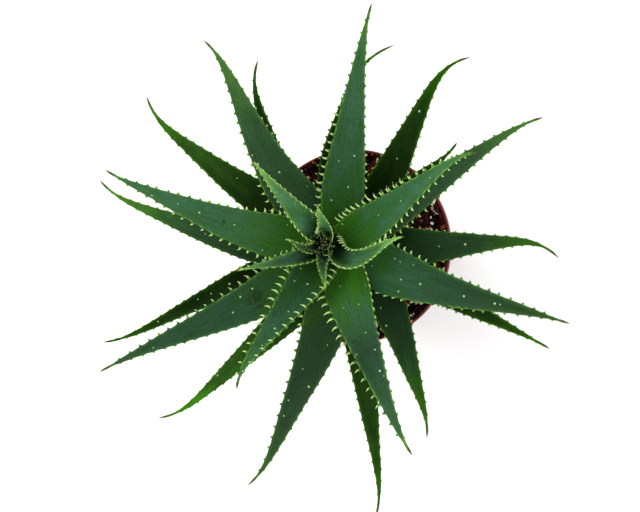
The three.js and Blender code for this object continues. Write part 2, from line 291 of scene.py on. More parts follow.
mottling, given, out = start_group(
    "mottling",
    [("Place", VECTOR), ("Scale", FLOAT), ("Fine Share", FLOAT)],
    [("Mask", FLOAT)],
)
broad = cloud(mottling, given["Place"], given["Scale"], BROAD_DETAIL)
fine_scale = total(mottling, "MULTIPLY", given["Scale"], FINE_TIMES)
fine = cloud(mottling, given["Place"], fine_scale, FINE_DETAIL)
fine_part = total(mottling, "MULTIPLY", fine, given["Fine Share"])
broad_part = total(mottling, "MULTIPLY", broad, opposite(mottling, given["Fine Share"]))
feed(mottling, out["Mask"], total(mottling, "ADD", broad_part, fine_part))
print("group:", mottling.name)

# %% [markdown]
# Specks are grit, crumbs and small flecks. Space is cut into cells, each cell may hold one round spot,
# and a draw for each cell leaves most of them empty. Loose noise would give blots of every size instead.

# %% Specks
SPOT_CORE = 0.6

specks, given, out = start_group(
    "specks",
    [("Place", VECTOR), ("Scale", FLOAT), ("Spot", FLOAT), ("Filled Share", FLOAT)],
    [("Mask", FLOAT)],
)
cells = add_node(specks, "ShaderNodeTexVoronoi")
feed(specks, cells.inputs["Vector"], given["Place"])
feed(specks, cells.inputs["Scale"], given["Scale"])
draw = add_node(specks, "ShaderNodeSeparateColor")
feed(specks, draw.inputs["Color"], cells.outputs["Color"])
filled = total(specks, "LESS_THAN", draw.outputs[0], given["Filled Share"])
core = total(specks, "MULTIPLY", given["Spot"], SPOT_CORE)
spot = opposite(specks, soft_step(specks, cells.outputs["Distance"], core, given["Spot"]))
feed(specks, out["Mask"], total(specks, "MULTIPLY", spot, filled))
print("group:", specks.name)

# %% [markdown]
# Dust is the pale grime that settles where a face looks up and stays away from walls. It could be painted
# on each piece by hand. Here the direction of the face says where it can lie, on any piece, and a cloudy
# noise breaks it into patches.

# %% Dust
LEVEL_SPAN = (0.1, 0.9)
DUST_DETAIL = 5.0
DUSTY_SPAN = (0.42, 0.7)

dust, given, out = start_group(
    "dust",
    [("Place", VECTOR), ("Scale", FLOAT), ("Amount", FLOAT)],
    [("Mask", FLOAT)],
)
facing = axes(dust, add_node(dust, "ShaderNodeNewGeometry").outputs["Normal"])
upward = soft_step(dust, facing["Z"], *LEVEL_SPAN)
patches = soft_step(dust, cloud(dust, given["Place"], given["Scale"], DUST_DETAIL), *DUSTY_SPAN)
settled = total(dust, "MULTIPLY", total(dust, "MULTIPLY", upward, patches), given["Amount"])
feed(dust, out["Mask"], settled)
print("group:", dust.name)

# %% [markdown]
# ## The leaf's skin
# A leaf of this plant is thick and waxy. It is yellow-green near the stem, blue-green under a thin bloom
# along its length, and fresh green towards its dry, pointed tip. It could be painted as a picture on each
# leaf. Instead every point of a leaf carries three sets of marks: its share of the leaf's length, its place
# in millimetres with its distance from the edge, and how light, fresh and bruised the leaf is there. How
# light is painted shade and light on the leaf's own tone. One group of nodes draws the skin of all leaves
# from those.

# %% Start the leaf skin group
leaf_skin, given, out = start_group(
    "leaf_skin",
    [
        ("Share", VECTOR),
        ("Place", VECTOR),
        ("Mood", VECTOR),
        ("Root Tint", COLOR),
        ("Blade Tint", COLOR),
        ("Bloom Tint", COLOR),
        ("Outer Tint", COLOR),
        ("Edge Tint", COLOR),
        ("Bloom", FLOAT),
        ("Edge Line", FLOAT),
        ("Filled Share", FLOAT),
    ],
    [("Color", COLOR), ("Roughness", FLOAT), ("Height", FLOAT)],
)
share = axes(leaf_skin, given["Share"])
from_edge = axes(leaf_skin, given["Place"])["Z"]
mood = axes(leaf_skin, given["Mood"])
print("group started:", leaf_skin.name)

# %% [markdown]
# Along the leaf the colour goes from the root's tint to the blade's and on to the outer one, with bloom
# over it in soft patches. A plain ramp would change colour in a straight line across the leaf, so the
# share of the length first wanders with the patches, and the fresh base reaches further on some leaves.
# Fine streaks run lengthwise, and with a grain they vary how light the skin is. The first mood mark
# then makes the whole skin darker or lighter as painted shade and light.

# %% Colours along the leaf
# noise cells to a millimetre across and along the leaf, and none for the distance from the edge
STREAK_GRAIN = (0.9, 0.06, 0)
PATCH_GRAIN = (0.11, 0.045, 0)
SKIN_GRAIN = (0.8, 0.5, 0)
STREAK_DETAIL = 4.0
SKIN_DETAIL = 3.0
WANDER = 0.3
FRESH_REACH = 0.3
# spans over which one colour gives way to the next
ROOT_SPAN = (-0.1, 0.3)
FILMED_SPAN = (0.35, 0.68)
BLOOM_SPAN = (-0.05, 0.25)
OUTER_SPAN = (0.5, 0.9)
STREAK_LIGHT = 0.75
LEAST_LIGHT = 0.14
GRAIN_LIGHT = 1.0

streaks = cloud(leaf_skin, stretch(leaf_skin, given["Place"], STREAK_GRAIN), 1.0, STREAK_DETAIL)
patches = cloud(leaf_skin, stretch(leaf_skin, given["Place"], PATCH_GRAIN), 1.0, SKIN_DETAIL)
grain = cloud(leaf_skin, stretch(leaf_skin, given["Place"], SKIN_GRAIN), 1.0, SKIN_DETAIL)
wander = total(leaf_skin, "MULTIPLY", total(leaf_skin, "SUBTRACT", patches, 0.5), WANDER)
fresh = total(leaf_skin, "MULTIPLY", mood["Y"], FRESH_REACH)
along = total(leaf_skin, "ADD", share["Y"], total(leaf_skin, "SUBTRACT", wander, fresh))

skin = mix_tints(leaf_skin, soft_step(leaf_skin, along, *ROOT_SPAN), given["Root Tint"], given["Blade Tint"])
filmed = total(leaf_skin, "MULTIPLY", soft_step(leaf_skin, patches, *FILMED_SPAN), given["Bloom"])
filmed = total(leaf_skin, "MULTIPLY", filmed, soft_step(leaf_skin, along, *BLOOM_SPAN))
skin = mix_tints(leaf_skin, filmed, skin, given["Bloom Tint"])
skin = mix_tints(leaf_skin, soft_step(leaf_skin, along, *OUTER_SPAN), skin, given["Outer Tint"])
lightness = total(leaf_skin, "ADD", total(leaf_skin, "MULTIPLY", streaks, STREAK_LIGHT), LEAST_LIGHT)
lightness = total(leaf_skin, "ADD", lightness, total(leaf_skin, "MULTIPLY", grain, GRAIN_LIGHT))
# the first mood mark is painted shade and light: it darkens or lightens the leaf's own tone
skin = lighten(leaf_skin, skin, total(leaf_skin, "MULTIPLY", lightness, mood["X"]))
print("colours along the leaf are wired")

# %% [markdown]
# Towards the edge the skin turns a little fresher, and a thin bright line follows the edge itself. A
# separate strip could carry that line, but here the distance from the edge is on every point, so a mask
# draws it. A slow noise breaks it up, because on a real leaf the line comes and goes.

# %% The leaf's edge
# millimetres from the edge
NEAR_EDGE = (0.2, 3.2)
EDGE_WIDTH = (0.25, 0.9)
NEAR_EDGE_SHARE = 0.4
EDGE_GRAIN = (0.05, 0.22, 0)
EDGE_DETAIL = 2.0
BROKEN_SPAN = (0.4, 0.62)

near_edge = opposite(leaf_skin, soft_step(leaf_skin, from_edge, *NEAR_EDGE))
fresher = total(leaf_skin, "MULTIPLY", near_edge, NEAR_EDGE_SHARE)
skin = mix_tints(leaf_skin, fresher, skin, given["Outer Tint"])
edge_line = opposite(leaf_skin, soft_step(leaf_skin, from_edge, *EDGE_WIDTH))
broken = cloud(leaf_skin, stretch(leaf_skin, given["Place"], EDGE_GRAIN), 1.0, EDGE_DETAIL)
edge_line = total(leaf_skin, "MULTIPLY", edge_line, soft_step(leaf_skin, broken, *BROKEN_SPAN))
edge_line = total(leaf_skin, "MULTIPLY", edge_line, given["Edge Line"])
skin = mix_tints(leaf_skin, edge_line, skin, given["Edge Tint"])
print("the edge is wired")

# %% [markdown]
# A few pale, nearly round specks lie on each leaf, one to a cell at most and clear of the edge. Cells
# keep them apart, where a noise would let them run together. Their size is drawn cell by cell.

# %% Pale specks
SPECK_CELLS = (0.095, 0.085, 0)
SPECK_SPREAD = 0.05
LEAST_SPECK = 0.05
SPECK_SOFTNESS = (0.45, 1.0)
CLEAR_OF_EDGE = (1.2, 2.6)
SPECK_STRENGTH = 0.9
SPECK_TINT = tint(150, 190, 136)

cells = add_node(leaf_skin, "ShaderNodeTexVoronoi", voronoi_dimensions="2D")
feed(leaf_skin, cells.inputs["Vector"], stretch(leaf_skin, given["Place"], SPECK_CELLS))
feed(leaf_skin, cells.inputs["Scale"], 1.0)
drawn = add_node(leaf_skin, "ShaderNodeSeparateColor")
feed(leaf_skin, drawn.inputs["Color"], cells.outputs["Color"])
filled = total(leaf_skin, "LESS_THAN", drawn.outputs[0], given["Filled Share"])
size = total(leaf_skin, "ADD", total(leaf_skin, "MULTIPLY", drawn.outputs[1], SPECK_SPREAD), LEAST_SPECK)
away = total(leaf_skin, "DIVIDE", cells.outputs["Distance"], size)
spot = opposite(leaf_skin, soft_step(leaf_skin, away, *SPECK_SOFTNESS))
whole = total(leaf_skin, "MULTIPLY", soft_step(leaf_skin, from_edge, *CLEAR_OF_EDGE), SPECK_STRENGTH)
spotted = total(leaf_skin, "MULTIPLY", total(leaf_skin, "MULTIPLY", spot, filled), whole)
skin = mix_tints(leaf_skin, spotted, skin, SPECK_TINT)
print("specks are wired")

# %% [markdown]
# A bruise is a darker blot, and the last few millimetres of a leaf are dry. The points round a bruise are
# marked with how deep it is there. A smooth disc would look stamped, so a noise breaks up its outline.

# %% Bruises and the dry tip
BLOT_GRAIN = (0.35, 0.3, 0)
BLOT_DETAIL = 2.0
BLOT_SPAN = (0.3, 0.7)
LEAST_BLOT = 0.25
BRUISE_SPAN = (0.1, 0.7)
BRUISE_STRENGTH = 0.75
BRUISE_TINT = tint(22, 40, 10)
DRY_SPAN = (0.95, 0.975)
DRY_TINT = tint(66, 70, 30)

blots = cloud(leaf_skin, stretch(leaf_skin, given["Place"], BLOT_GRAIN), 1.0, BLOT_DETAIL)
blotted = total(leaf_skin, "ADD", soft_step(leaf_skin, blots, *BLOT_SPAN), LEAST_BLOT)
bruised = total(leaf_skin, "MULTIPLY", mood["Z"], blotted)
bruised = total(leaf_skin, "MULTIPLY", soft_step(leaf_skin, bruised, *BRUISE_SPAN), BRUISE_STRENGTH)
skin = mix_tints(leaf_skin, bruised, skin, BRUISE_TINT)
dried = soft_step(leaf_skin, share["Y"], *DRY_SPAN)
skin = mix_tints(leaf_skin, dried, skin, DRY_TINT)
feed(leaf_skin, out["Color"], skin)
print("bruises and the dry tip are wired")

# %% [markdown]
# The bloom dulls the skin where it is thick, and the dry tip is duller still. Streaks, patches and specks
# stand a hair above the rest. Real geometry would cost millions of faces for that, so they are relief.

# %% The skin's roughness and height
PATCH_DULLNESS = 0.2
SKIN_ROUGHNESS = 0.42
DRY_DULLNESS = 0.25
STREAK_HEIGHT = 0.5
SPECK_HEIGHT = 0.6

rough = total(leaf_skin, "ADD", total(leaf_skin, "MULTIPLY", patches, PATCH_DULLNESS), SKIN_ROUGHNESS)
rough = total(leaf_skin, "ADD", rough, total(leaf_skin, "MULTIPLY", dried, DRY_DULLNESS))
feed(leaf_skin, out["Roughness"], rough)
ribbed = total(leaf_skin, "ADD", total(leaf_skin, "MULTIPLY", streaks, STREAK_HEIGHT), patches)
raised = total(leaf_skin, "ADD", ribbed, total(leaf_skin, "MULTIPLY", spotted, SPECK_HEIGHT))
feed(leaf_skin, out["Height"], raised)
print("group:", leaf_skin.name, "nodes:", len(leaf_skin.nodes))

# %% [markdown]
# ## The ages of a leaf, and painted shade
# The leaves at the heart stand in the shade of the others, and their finish paints that shade in as
# nearly black tints. The young ones round them are pale and bluish, with a bright line along the edge,
# and the broad upper ones carry the most bloom. The old ones at the bottom have lost it and are a deep,
# sappy green, and a few are still on the way there. Both are painted darker than that green, as the
# shade of the leaves above. The dark root tints of the heart, inner and lower finishes are painted shade
# by the stem. Six unlike materials would drift apart, so the finishes share the skin group and differ
# only in its values.

# %% Leaf finishes
PLAIN_ROUGHNESS = 0.45
SKIN_RELIEF = 0.0005
# heart tints and dark root tints are painted shade; lower and fading tints are deep green plus painted shade
LEAF_AGES_AND_SHADE = {
    "heart": dict(root=(6, 16, 4), blade=(24, 50, 16), bloom=(40, 72, 36), outer=(50, 84, 40),
                  edge=(60, 92, 36), edge_line=0.3, bloom_share=0.5, filled=0.1, shine=0.07),
    "inner": dict(root=(15, 36, 8), blade=(50, 88, 44), bloom=(66, 110, 84), outer=(92, 136, 66),
                  edge=(156, 196, 84), edge_line=0.95, bloom_share=0.6, filled=0.3, shine=0.07),
    "upper": dict(root=(42, 86, 18), blade=(37, 73, 39), bloom=(47, 84, 61), outer=(50, 88, 38),
                  edge=(112, 162, 58), edge_line=0.7, bloom_share=0.6, filled=0.36, shine=0.07),
    "middle": dict(root=(38, 70, 18), blade=(32, 58, 30), bloom=(39, 68, 43), outer=(50, 86, 32),
                   edge=(90, 136, 50), edge_line=0.65, bloom_share=0.5, filled=0.26, shine=0.06),
    "fading": dict(root=(34, 60, 30), blade=(27, 51, 25), bloom=(34, 60, 34), outer=(40, 81, 12),
                   edge=(100, 150, 44), edge_line=0.6, bloom_share=0.5, filled=0.26, shine=0.04),
    "lower": dict(root=(24, 44, 12), blade=(20, 43, 8), bloom=(36, 64, 18), outer=(36, 80, 3),
                  edge=(88, 134, 36), edge_line=0.75, bloom_share=0.45, filled=0.24, shine=0.02),
}


def leaf_finish(age, tints):
    made, tree, shader = start_material(f"leaf_{age}", PLAIN_ROUGHNESS, tints["shine"])
    drawn = place_group(tree, leaf_skin, {
        "Share": read_marks(tree, "leaf_share"),
        "Place": read_marks(tree, "leaf_place"),
        "Mood": read_marks(tree, "leaf_mood"),
        "Root Tint": tint(*tints["root"]),
        "Blade Tint": tint(*tints["blade"]),
        "Bloom Tint": tint(*tints["bloom"]),
        "Outer Tint": tint(*tints["outer"]),
        "Edge Tint": tint(*tints["edge"]),
        "Bloom": tints["bloom_share"],
        "Edge Line": tints["edge_line"],
        "Filled Share": tints["filled"],
    })
    feed(tree, shader.inputs["Base Color"], drawn["Color"])
    feed(tree, shader.inputs["Roughness"], drawn["Roughness"])
    relief(tree, shader, drawn["Height"], SKIN_RELIEF)
    return made


leaf_finishes = {age: leaf_finish(age, tints) for age, tints in LEAF_AGES_AND_SHADE.items()}
print("leaf finishes:", sorted(leaf_finishes))

# %% [markdown]
# ## The teeth's horn
# The teeth are hard and look like horn, green where they leave the edge and cream at the point. Two plain
# colours would meet in a line. Instead the points of a tooth are marked with how far out they lie, and one
# blend from root to point, broken up by a little mottling, serves them all. Teeth further out on a leaf
# stay greener, and those of a shaded leaf dimmer.

# %% Tooth finish
HORN_ROUGHNESS = 0.38
HORN_SHINE = 0.4
HORN_RELIEF = 0.0002
UNEVEN_SHARE = 0.3
GREENER_OUTSIDE = 0.4
ROOT_TO_HORN = (0.05, 0.4)
HORN_TO_POINT = (0.4, 0.9)
TOOTH_ROOT_TINT = tint(62, 110, 30)
HORN_TINT = tint(178, 214, 112)
POINT_TINT = tint(226, 243, 184)
# how much of a leaf's painted shade and light its teeth take on
SHADED_SHARE = 0.8
OWN_LIGHT = 0.2

tooth_horn, tree, shader = start_material("tooth_horn", HORN_ROUGHNESS, HORN_SHINE)
marks = axes(tree, read_marks(tree, "leaf_share"))
mood = axes(tree, read_marks(tree, "leaf_mood"))
uneven = place_group(tree, mottling, {"Place": own_place(tree), "Scale": 160.0, "Fine Share": 0.4})["Mask"]
outward = total(tree, "ADD", marks["X"], total(tree, "MULTIPLY", uneven, UNEVEN_SHARE))
outward = total(tree, "SUBTRACT", outward, total(tree, "MULTIPLY", marks["Y"], GREENER_OUTSIDE))
horn = mix_tints(tree, soft_step(tree, outward, *ROOT_TO_HORN), TOOTH_ROOT_TINT, HORN_TINT)
horn = mix_tints(tree, soft_step(tree, outward, *HORN_TO_POINT), horn, POINT_TINT)
light = total(tree, "ADD", total(tree, "MULTIPLY", mood["X"], SHADED_SHARE), OWN_LIGHT)
horn = lighten(tree, horn, total(tree, "MINIMUM", light, 1.0))
feed(tree, shader.inputs["Base Color"], horn)
relief(tree, shader, uneven, HORN_RELIEF)
print("finish:", tooth_horn.name)

# %% [markdown]
# ## The rosette's rows
# Each leaf is a line from the stem to its tip: which way it heads, how high it starts, how far it
# reaches, how much it rises and arches, how it swings aside, how its tip hooks, how wide it is and how
# deeply it is folded. Chance could place them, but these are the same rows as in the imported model, so
# that each fine leaf lies exactly where its plain one was. Most headings, reaches, sweeps, hooks and
# widths of the outer leaves are rounded results of a fit to the outline in the photo.

# %% The rows
# name, heading, height on the stem, reach, rise, arch, sweep, hook, width, fold
LEAF_ROWS = [
    ("heart_leaf_1", 60, 201, 9, 40, 1, 1, 0, 6.5, 0.5),
    ("heart_leaf_2", 200, 200, 10, 34, 1, 1, 0, 6.5, 0.5),
    ("heart_leaf_3", 320, 199, 13, 42, 1, -2, 0, 7, 0.5),
    ("inner_leaf_1", 80, 198, 25, 60, 3, -2, 0, 9.5, 0.5),
    ("inner_leaf_2", 283, 196, 34, 50, 4, -2, 0, 9, 0.5),
    ("inner_leaf_3", 174, 194, 22, 48, 3, 5, 0, 7.5, 0.5),
    ("inner_leaf_4", 3, 190, 63.5, 80, 9, -12, 0, 16, 0.9),
    ("inner_leaf_5", 125, 187, 67, 88, 8, 1, 0, 17, 0.35),
    ("inner_leaf_6", 199, 184, 60, 62, 8, 3, 0, 13, 0.5),
    ("upper_leaf_1", 30.5, 180, 124, 92, 12, -4, -6, 27, 0.2),
    ("upper_leaf_2", 239, 178, 113, 80, 12, 2, 5, 28, 0.5),
    ("upper_leaf_3", 293.5, 174, 156, 80, 12, -2, 3, 33, 0.12),
    ("upper_leaf_4", 78.5, 167, 167, 76, 12, 0, -2, 32, 0.14),
    ("upper_leaf_5", 342, 164, 176, 58, 16, -6, 0, 36, 0.12),
    ("upper_leaf_6", 163, 160, 172, 60, 16, 8, -4, 33, 0.12),
    ("upper_leaf_7", 208.5, 157, 196, 52, 16, 7, 0, 35, 0.14),
    ("middle_leaf_1", 32, 153, 172, 60, 12, -1, -5, 29, 0.16),
    ("middle_leaf_2", 253, 151, 186, 48, 15, 8, -10, 38, 0.14),
    ("middle_leaf_3", 121, 149, 176, 58, 16, 11, 5, 36, 0.14),
    ("lower_leaf_1", 1.5, 145, 158, 34, 16, -3, -14, 32, 0.16),
    ("lower_leaf_2", 39, 141, 113, 44, 10, 4, 3, 22, 0.2),
    ("lower_leaf_3", 297, 139, 154, 32, 16, 10, -8, 32, 0.16),
    ("lower_leaf_4", 146.5, 137, 188, 34, 16, 6, -12, 32, 0.18),
    ("lower_leaf_5", 226, 135, 194, 30, 16, 5, -12, 29, 0.16),
    ("lower_leaf_6", 60.5, 133, 165, 40, 16, -4, -15, 31, 0.18),
    ("lower_leaf_7", 168.5, 131, 199, 28, 14, 14, -12, 29, 0.16),
    ("lower_leaf_8", 278.5, 129, 204, 28, 16, 0, -8, 29, 0.16),
    ("lower_leaf_9", 120.5, 127, 155, 34, 14, 16, -14, 27, 0.2),
    ("lower_leaf_10", 202.5, 125, 208, 24, 14, -7, -5, 26, 0.16),
    ("lower_leaf_11", 86, 124, 152, 32, 14, 16, -26, 25, 0.2),
    ("lower_leaf_12", 333.5, 122, 168, 26, 14, 0, -1, 27, 0.16),
]
FIELDS = ("name", "heading", "height", "reach", "rise", "arch", "sweep", "hook", "width", "fold")
LEAVES = [dict(zip(FIELDS, row)) for row in LEAF_ROWS]
print("leaves:", len(LEAVES))

# %% [markdown]
# The line itself is worked out at any share of its length, 0 at the stem and 1 at the tip. A curve object
# could hold it, but a formula gives the place, the heading and the length at once, and it is the packed
# model's own formula. The stem leans, so each line starts from the stem's axis at the leaf's own height.

# %% The leaf's line
LEAN_START = 116
CROWN_HEIGHT = 197
CROWN_SHIFT = (-9, 2)
LEAN_POWER = 1.3
ROOT_RADIUS = 5
HOOK_START = 0.6
HOOK_POWER = 5
# the highest value that share * (1 - share) ** 2 reaches
SWEEP_PEAK = 4 / 27
LOOK_AROUND = 0.01
LENGTH_STEPS = 16
UP = Vector((0, 0, 1))


def stem_axis(height):
    climb = max(0, (height - LEAN_START) / (CROWN_HEIGHT - LEAN_START)) ** LEAN_POWER
    return Vector((CROWN_SHIFT[0] * climb, CROWN_SHIFT[1] * climb, height))


def midrib(leaf, share):
    heading = math.radians(leaf["heading"])
    along = ROOT_RADIUS + (leaf["reach"] - ROOT_RADIUS) * share
    bend = leaf["sweep"] * share * (1 - share) ** 2 / SWEEP_PEAK
    curl = leaf["hook"] * max(0, (share - HOOK_START) / (1 - HOOK_START)) ** HOOK_POWER
    aside = bend + curl
    # the arch is a parabola that is highest half way
    rise = leaf["rise"] * share + 4 * leaf["arch"] * share * (1 - share)
    out = Vector((math.cos(heading), math.sin(heading), 0))
    left = Vector((-out.y, out.x, 0))
    return stem_axis(leaf["height"]) + out * along + left * aside + Vector((0, 0, rise))


def blade_frame(leaf, share):
    ahead = (midrib(leaf, share + LOOK_AROUND) - midrib(leaf, share - LOOK_AROUND)).normalized()
    left = UP.cross(ahead).normalized()
    return ahead, left, ahead.cross(left)


def blade_length(leaf):
    points = [midrib(leaf, i / LENGTH_STEPS) for i in range(LENGTH_STEPS + 1)]
    return sum((b - a).length for a, b in zip(points, points[1:]))


# measures along the way are printed for this leaf
SAMPLE = LEAVES[-1]
print("longest leaf:", round(max(blade_length(leaf) for leaf in LEAVES)), "mm")
print(SAMPLE["name"], "is", round(blade_length(SAMPLE)), "mm long")

# %% [markdown]
# ## No two leaves alike
# On a real plant one leaf has lost more of its bloom than the next, and on some the fresh green of the
# base runs further out. Four numbers for each leaf say how light it is by the stem, half way and at its
# tip, and how far its fresh base reaches. How light is mostly painted shade and light on the leaf's own
# tone: darker near the stem and where other leaves shade it, lighter where it lies in the light. Chance
# could draw them, but they were given leaf by leaf after its colour in the photo and in the render had
# been measured and compared, so the light and dark leaves are where the photo has them.

# %% Lightness and freshness
# painted shade and light on the leaf's own tone by the stem, half way and at the tip; reach of the fresh base
LEAF_SHADE_AND_FRESHNESS = {
    "heart_leaf_1": (0.45, 0.5, 0.5, 0.3),
    "heart_leaf_2": (0.8, 0.8, 0.8, 0.3),
    "heart_leaf_3": (0.5, 0.5, 0.6, 0.3),
    "inner_leaf_1": (1.8, 2.0, 2.2, 0.1),
    "inner_leaf_2": (0.4, 0.5, 0.6, 0.5),
    "inner_leaf_3": (0.7, 0.7, 0.8, 0.5),
    "inner_leaf_4": (0.6, 1.2, 2.0, 0.3),
    "inner_leaf_5": (1.3, 1.3, 1.4, 0.2),
    "inner_leaf_6": (0.4, 0.6, 1.0, 0.6),
    "upper_leaf_1": (0.95, 1.3, 1.4, 0.5),
    "upper_leaf_2": (0.4, 0.85, 1.3, 0.5),
    "upper_leaf_3": (1.9, 0.45, 1.0, 0.7),
    "upper_leaf_4": (0.7, 0.87, 1.05, 0.4),
    "upper_leaf_5": (1.6, 0.55, 0.3, 0.1),
    "upper_leaf_6": (1.05, 1.0, 1.15, 0.7),
    "upper_leaf_7": (0.8, 0.56, 0.5, 0.7),
    "middle_leaf_1": (0.65, 0.85, 1.05, 0.3),
    "middle_leaf_2": (1.1, 0.62, 0.82, 0.6),
    "middle_leaf_3": (0.95, 1.05, 1.12, 0.1),
    "lower_leaf_1": (0.9, 0.9, 0.8, 0.2),
    "lower_leaf_2": (0.7, 0.7, 0.7, 0.4),
    "lower_leaf_3": (0.95, 0.9, 0.85, 0.1),
    "lower_leaf_4": (0.3, 1.0, 2.3, 0.6),
    "lower_leaf_5": (1.2, 1.9, 2.4, 0.5),
    "lower_leaf_6": (0.45, 0.75, 0.6, 0.2),
    "lower_leaf_7": (0.85, 1.2, 2.0, 0.2),
    "lower_leaf_8": (1.0, 1.0, 1.0, 0.7),
    "lower_leaf_9": (0.4, 0.35, 0.3, 0.5),
    "lower_leaf_10": (0.55, 0.5, 0.5, 0.5),
    "lower_leaf_11": (0.5, 0.5, 0.5, 0.5),
    "lower_leaf_12": (0.75, 0.9, 1.05, 0.5),
}
# the buds at the heart are painted darker, as the shade they stand in
BUD_SHADE_AND_FRESHNESS = (0.6, 0.6, 0.6, 0.5)


def lightness_at(mood, share):
    near, middle, far, _ = mood
    if share < 0.5:
        return near + (middle - near) * 2 * share
    return middle + (far - middle) * (2 * share - 1)


print("leaf moods:", len(LEAF_SHADE_AND_FRESHNESS))

# %% [markdown]
# Three of the lower leaves still carry some bloom, and three of the upper ones have bruises, soft round
# blots where they were knocked. A brush could paint those on, but a short list says where each one lies,
# and every point near it gets its depth.

# %% Fading and bruised leaves
FADING = ("lower_leaf_1", "lower_leaf_3", "lower_leaf_7")
# leaf, millimetres along the leaf, millimetres to its left, radius of the mark
BRUISES = [
    ("upper_leaf_6", 83, 1, 2.4),
    ("upper_leaf_7", 69, 0, 7.5),
    ("upper_leaf_7", 72, 5, 2),
    ("upper_leaf_3", 76, -6, 1.8),
    ("upper_leaf_3", 79, -4, 1.8),
]


def bruise_at(leaf, along, aside):
    depth = 0
    for name, bruise_along, bruise_aside, radius in BRUISES:
        if name == leaf["name"]:
            away = math.hypot(along - bruise_along, aside - bruise_aside)
            depth = max(depth, math.exp(-((away / radius) ** 2)))
    return depth


print("fading leaves:", len(FADING), "bruises:", len(BRUISES))

# %% [markdown]
# ## The blade's cross-section
# Cut across, a leaf is a thick crescent: a shallow channel above, a rounded back below, and a thin edge
# on each side. It narrows at the waist near the stem and runs out into a dry spike. A crescent could be
# swept along a curve object, but then the edge could not swell a little at each tooth, so the blade is
# laid out ring by ring in mesh code.

# %% Width and thickness
# the waist: how much narrower, and over what share of the length it fades
WAIST_DEPTH = 0.4
WAIST_REACH = 0.15
WIDTH_GAIN = 1.36
TAPER_POWER = 1.15
# the spike: half its width, the width of a leaf that has all of it, its share of the length
SPIKE_HALF = 1.0
SPIKE_LEAF_WIDTH = 20
SPIKE_SHARE = 0.03
SPIKE_POWER = 0.7
# the thickness by the stem, as a share of the width, and at the tip
ROOT_THICKNESS = 0.25
TIP_THICKNESS = 1.4
THINNING_POWER = 0.8
# it is never more than this many half widths and a little
ROUNDEST = 2.3
LEAST_THICKNESS = 0.1


def half_width(leaf, share):
    waist = 1 - WAIST_DEPTH * math.exp(-((share / WAIST_REACH) ** 2))
    body = leaf["width"] / 2 * WIDTH_GAIN * (1 - share) ** TAPER_POWER * waist
    spike = SPIKE_HALF * min(1, leaf["width"] / SPIKE_LEAF_WIDTH)
    return max(body, spike * min(1, (1 - share) / SPIKE_SHARE) ** SPIKE_POWER)


def blade_thickness(leaf, share):
    root = ROOT_THICKNESS * leaf["width"]
    body = TIP_THICKNESS + (root - TIP_THICKNESS) * (1 - share) ** THINNING_POWER
    return min(body, ROUNDEST * half_width(leaf, share) + LEAST_THICKNESS)


widest = 2 * max(half_width(SAMPLE, i / LENGTH_STEPS) for i in range(LENGTH_STEPS + 1))
print(SAMPLE["name"], "is", round(widest, 1), "mm wide and", round(blade_thickness(SAMPLE, 0), 1), "mm thick")

# %% [markdown]
# The teeth stand in a row along each edge. Near the stem they are large and close together, and they get
# smaller and wider apart on the way out. An even row would look like a saw, so chance varies every size
# and every gap a little. The two edges start at different places, so their teeth don't stand in pairs.

# %% Places of the teeth
LEFT, RIGHT = 1, -1
TOOTH_SIZES = {"heart": 0.75, "inner": 1.5, "upper": 1.15, "middle": 1.0, "lower": 0.75}
# how fast the teeth get smaller on the way out
USUAL_FALL = 1.6
OWN_FALLS = {"upper_leaf_1": 0.8, "upper_leaf_2": 0.6, "upper_leaf_3": 0.8}
# shares of the leaf's length
FIRST_TOOTH = {LEFT: 0.07, RIGHT: 0.085}
LAST_TOOTH = 0.94
TIP_SIZE = 0.2
SIZE_FALL = 0.96
SIZE_SPREAD = (0.86, 1.12)
# a leaf this wide has teeth of full size at the usual pitch
FULL_WIDTH = 30
SIZE_BY_WIDTH = 0.5
PITCH_BY_WIDTH = 0.3
FIRST_PITCH = 5.2
PITCH_GROWTH = 3.8
PITCH_SPREAD = (0.85, 1.15)


def family(leaf):
    return leaf["name"].split("_")[0]


def tooth_places(leaf, side, draw):
    length = blade_length(leaf)
    fall = OWN_FALLS.get(leaf["name"], USUAL_FALL)
    broad = leaf["width"] / FULL_WIDTH
    places = []
    share = FIRST_TOOTH[side]
    while share < LAST_TOOTH:
        size = TOOTH_SIZES[family(leaf)] * (TIP_SIZE + SIZE_FALL * (1 - share) ** fall)
        size *= min(1, broad) ** SIZE_BY_WIDTH * draw.uniform(*SIZE_SPREAD)
        places.append((share, size))
        pitch = (FIRST_PITCH + PITCH_GROWTH * share) * broad ** PITCH_BY_WIDTH * draw.uniform(*PITCH_SPREAD)
        share += pitch / length
    return places


trial = tooth_places(SAMPLE, LEFT, random.Random(0))
print("teeth on one edge of", SAMPLE["name"], "in a trial draw:", len(trial))

# %% [markdown]
# ## A mesh under construction
# Every point of a leaf has marks, and every face one of two finishes. Loose lists would soon get out of
# step, so a small class gathers points, marks and faces together. It closes the skin between one ring of
# points and the next, and fans out from a ring to a single point where a shape ends.

# %% The mesh gatherer
class Gathered:
    def __init__(self):
        self.points, self.share, self.place, self.bruise = [], [], [], []
        self.faces, self.finish = [], []

    def add(self, point, share=(0, 0, 0), place=(0, 0, 0), bruise=0):
        self.points.append(tuple(point))
        self.share.append(share)
        self.place.append(place)
        self.bruise.append(bruise)
        return len(self.points) - 1

    def rings(self, rings, finish=0):
        for first, second in zip(rings, rings[1:]):
            for i in range(len(first)):
                k = (i + 1) % len(first)
                self.faces.append((first[i], first[k], second[k], second[i]))
                self.finish.append(finish)

    def fan(self, ring, point, finish=0):
        for i in range(len(ring)):
            self.faces.append((ring[i], ring[(i + 1) % len(ring)], point))
            self.finish.append(finish)


print("gatherer ready")

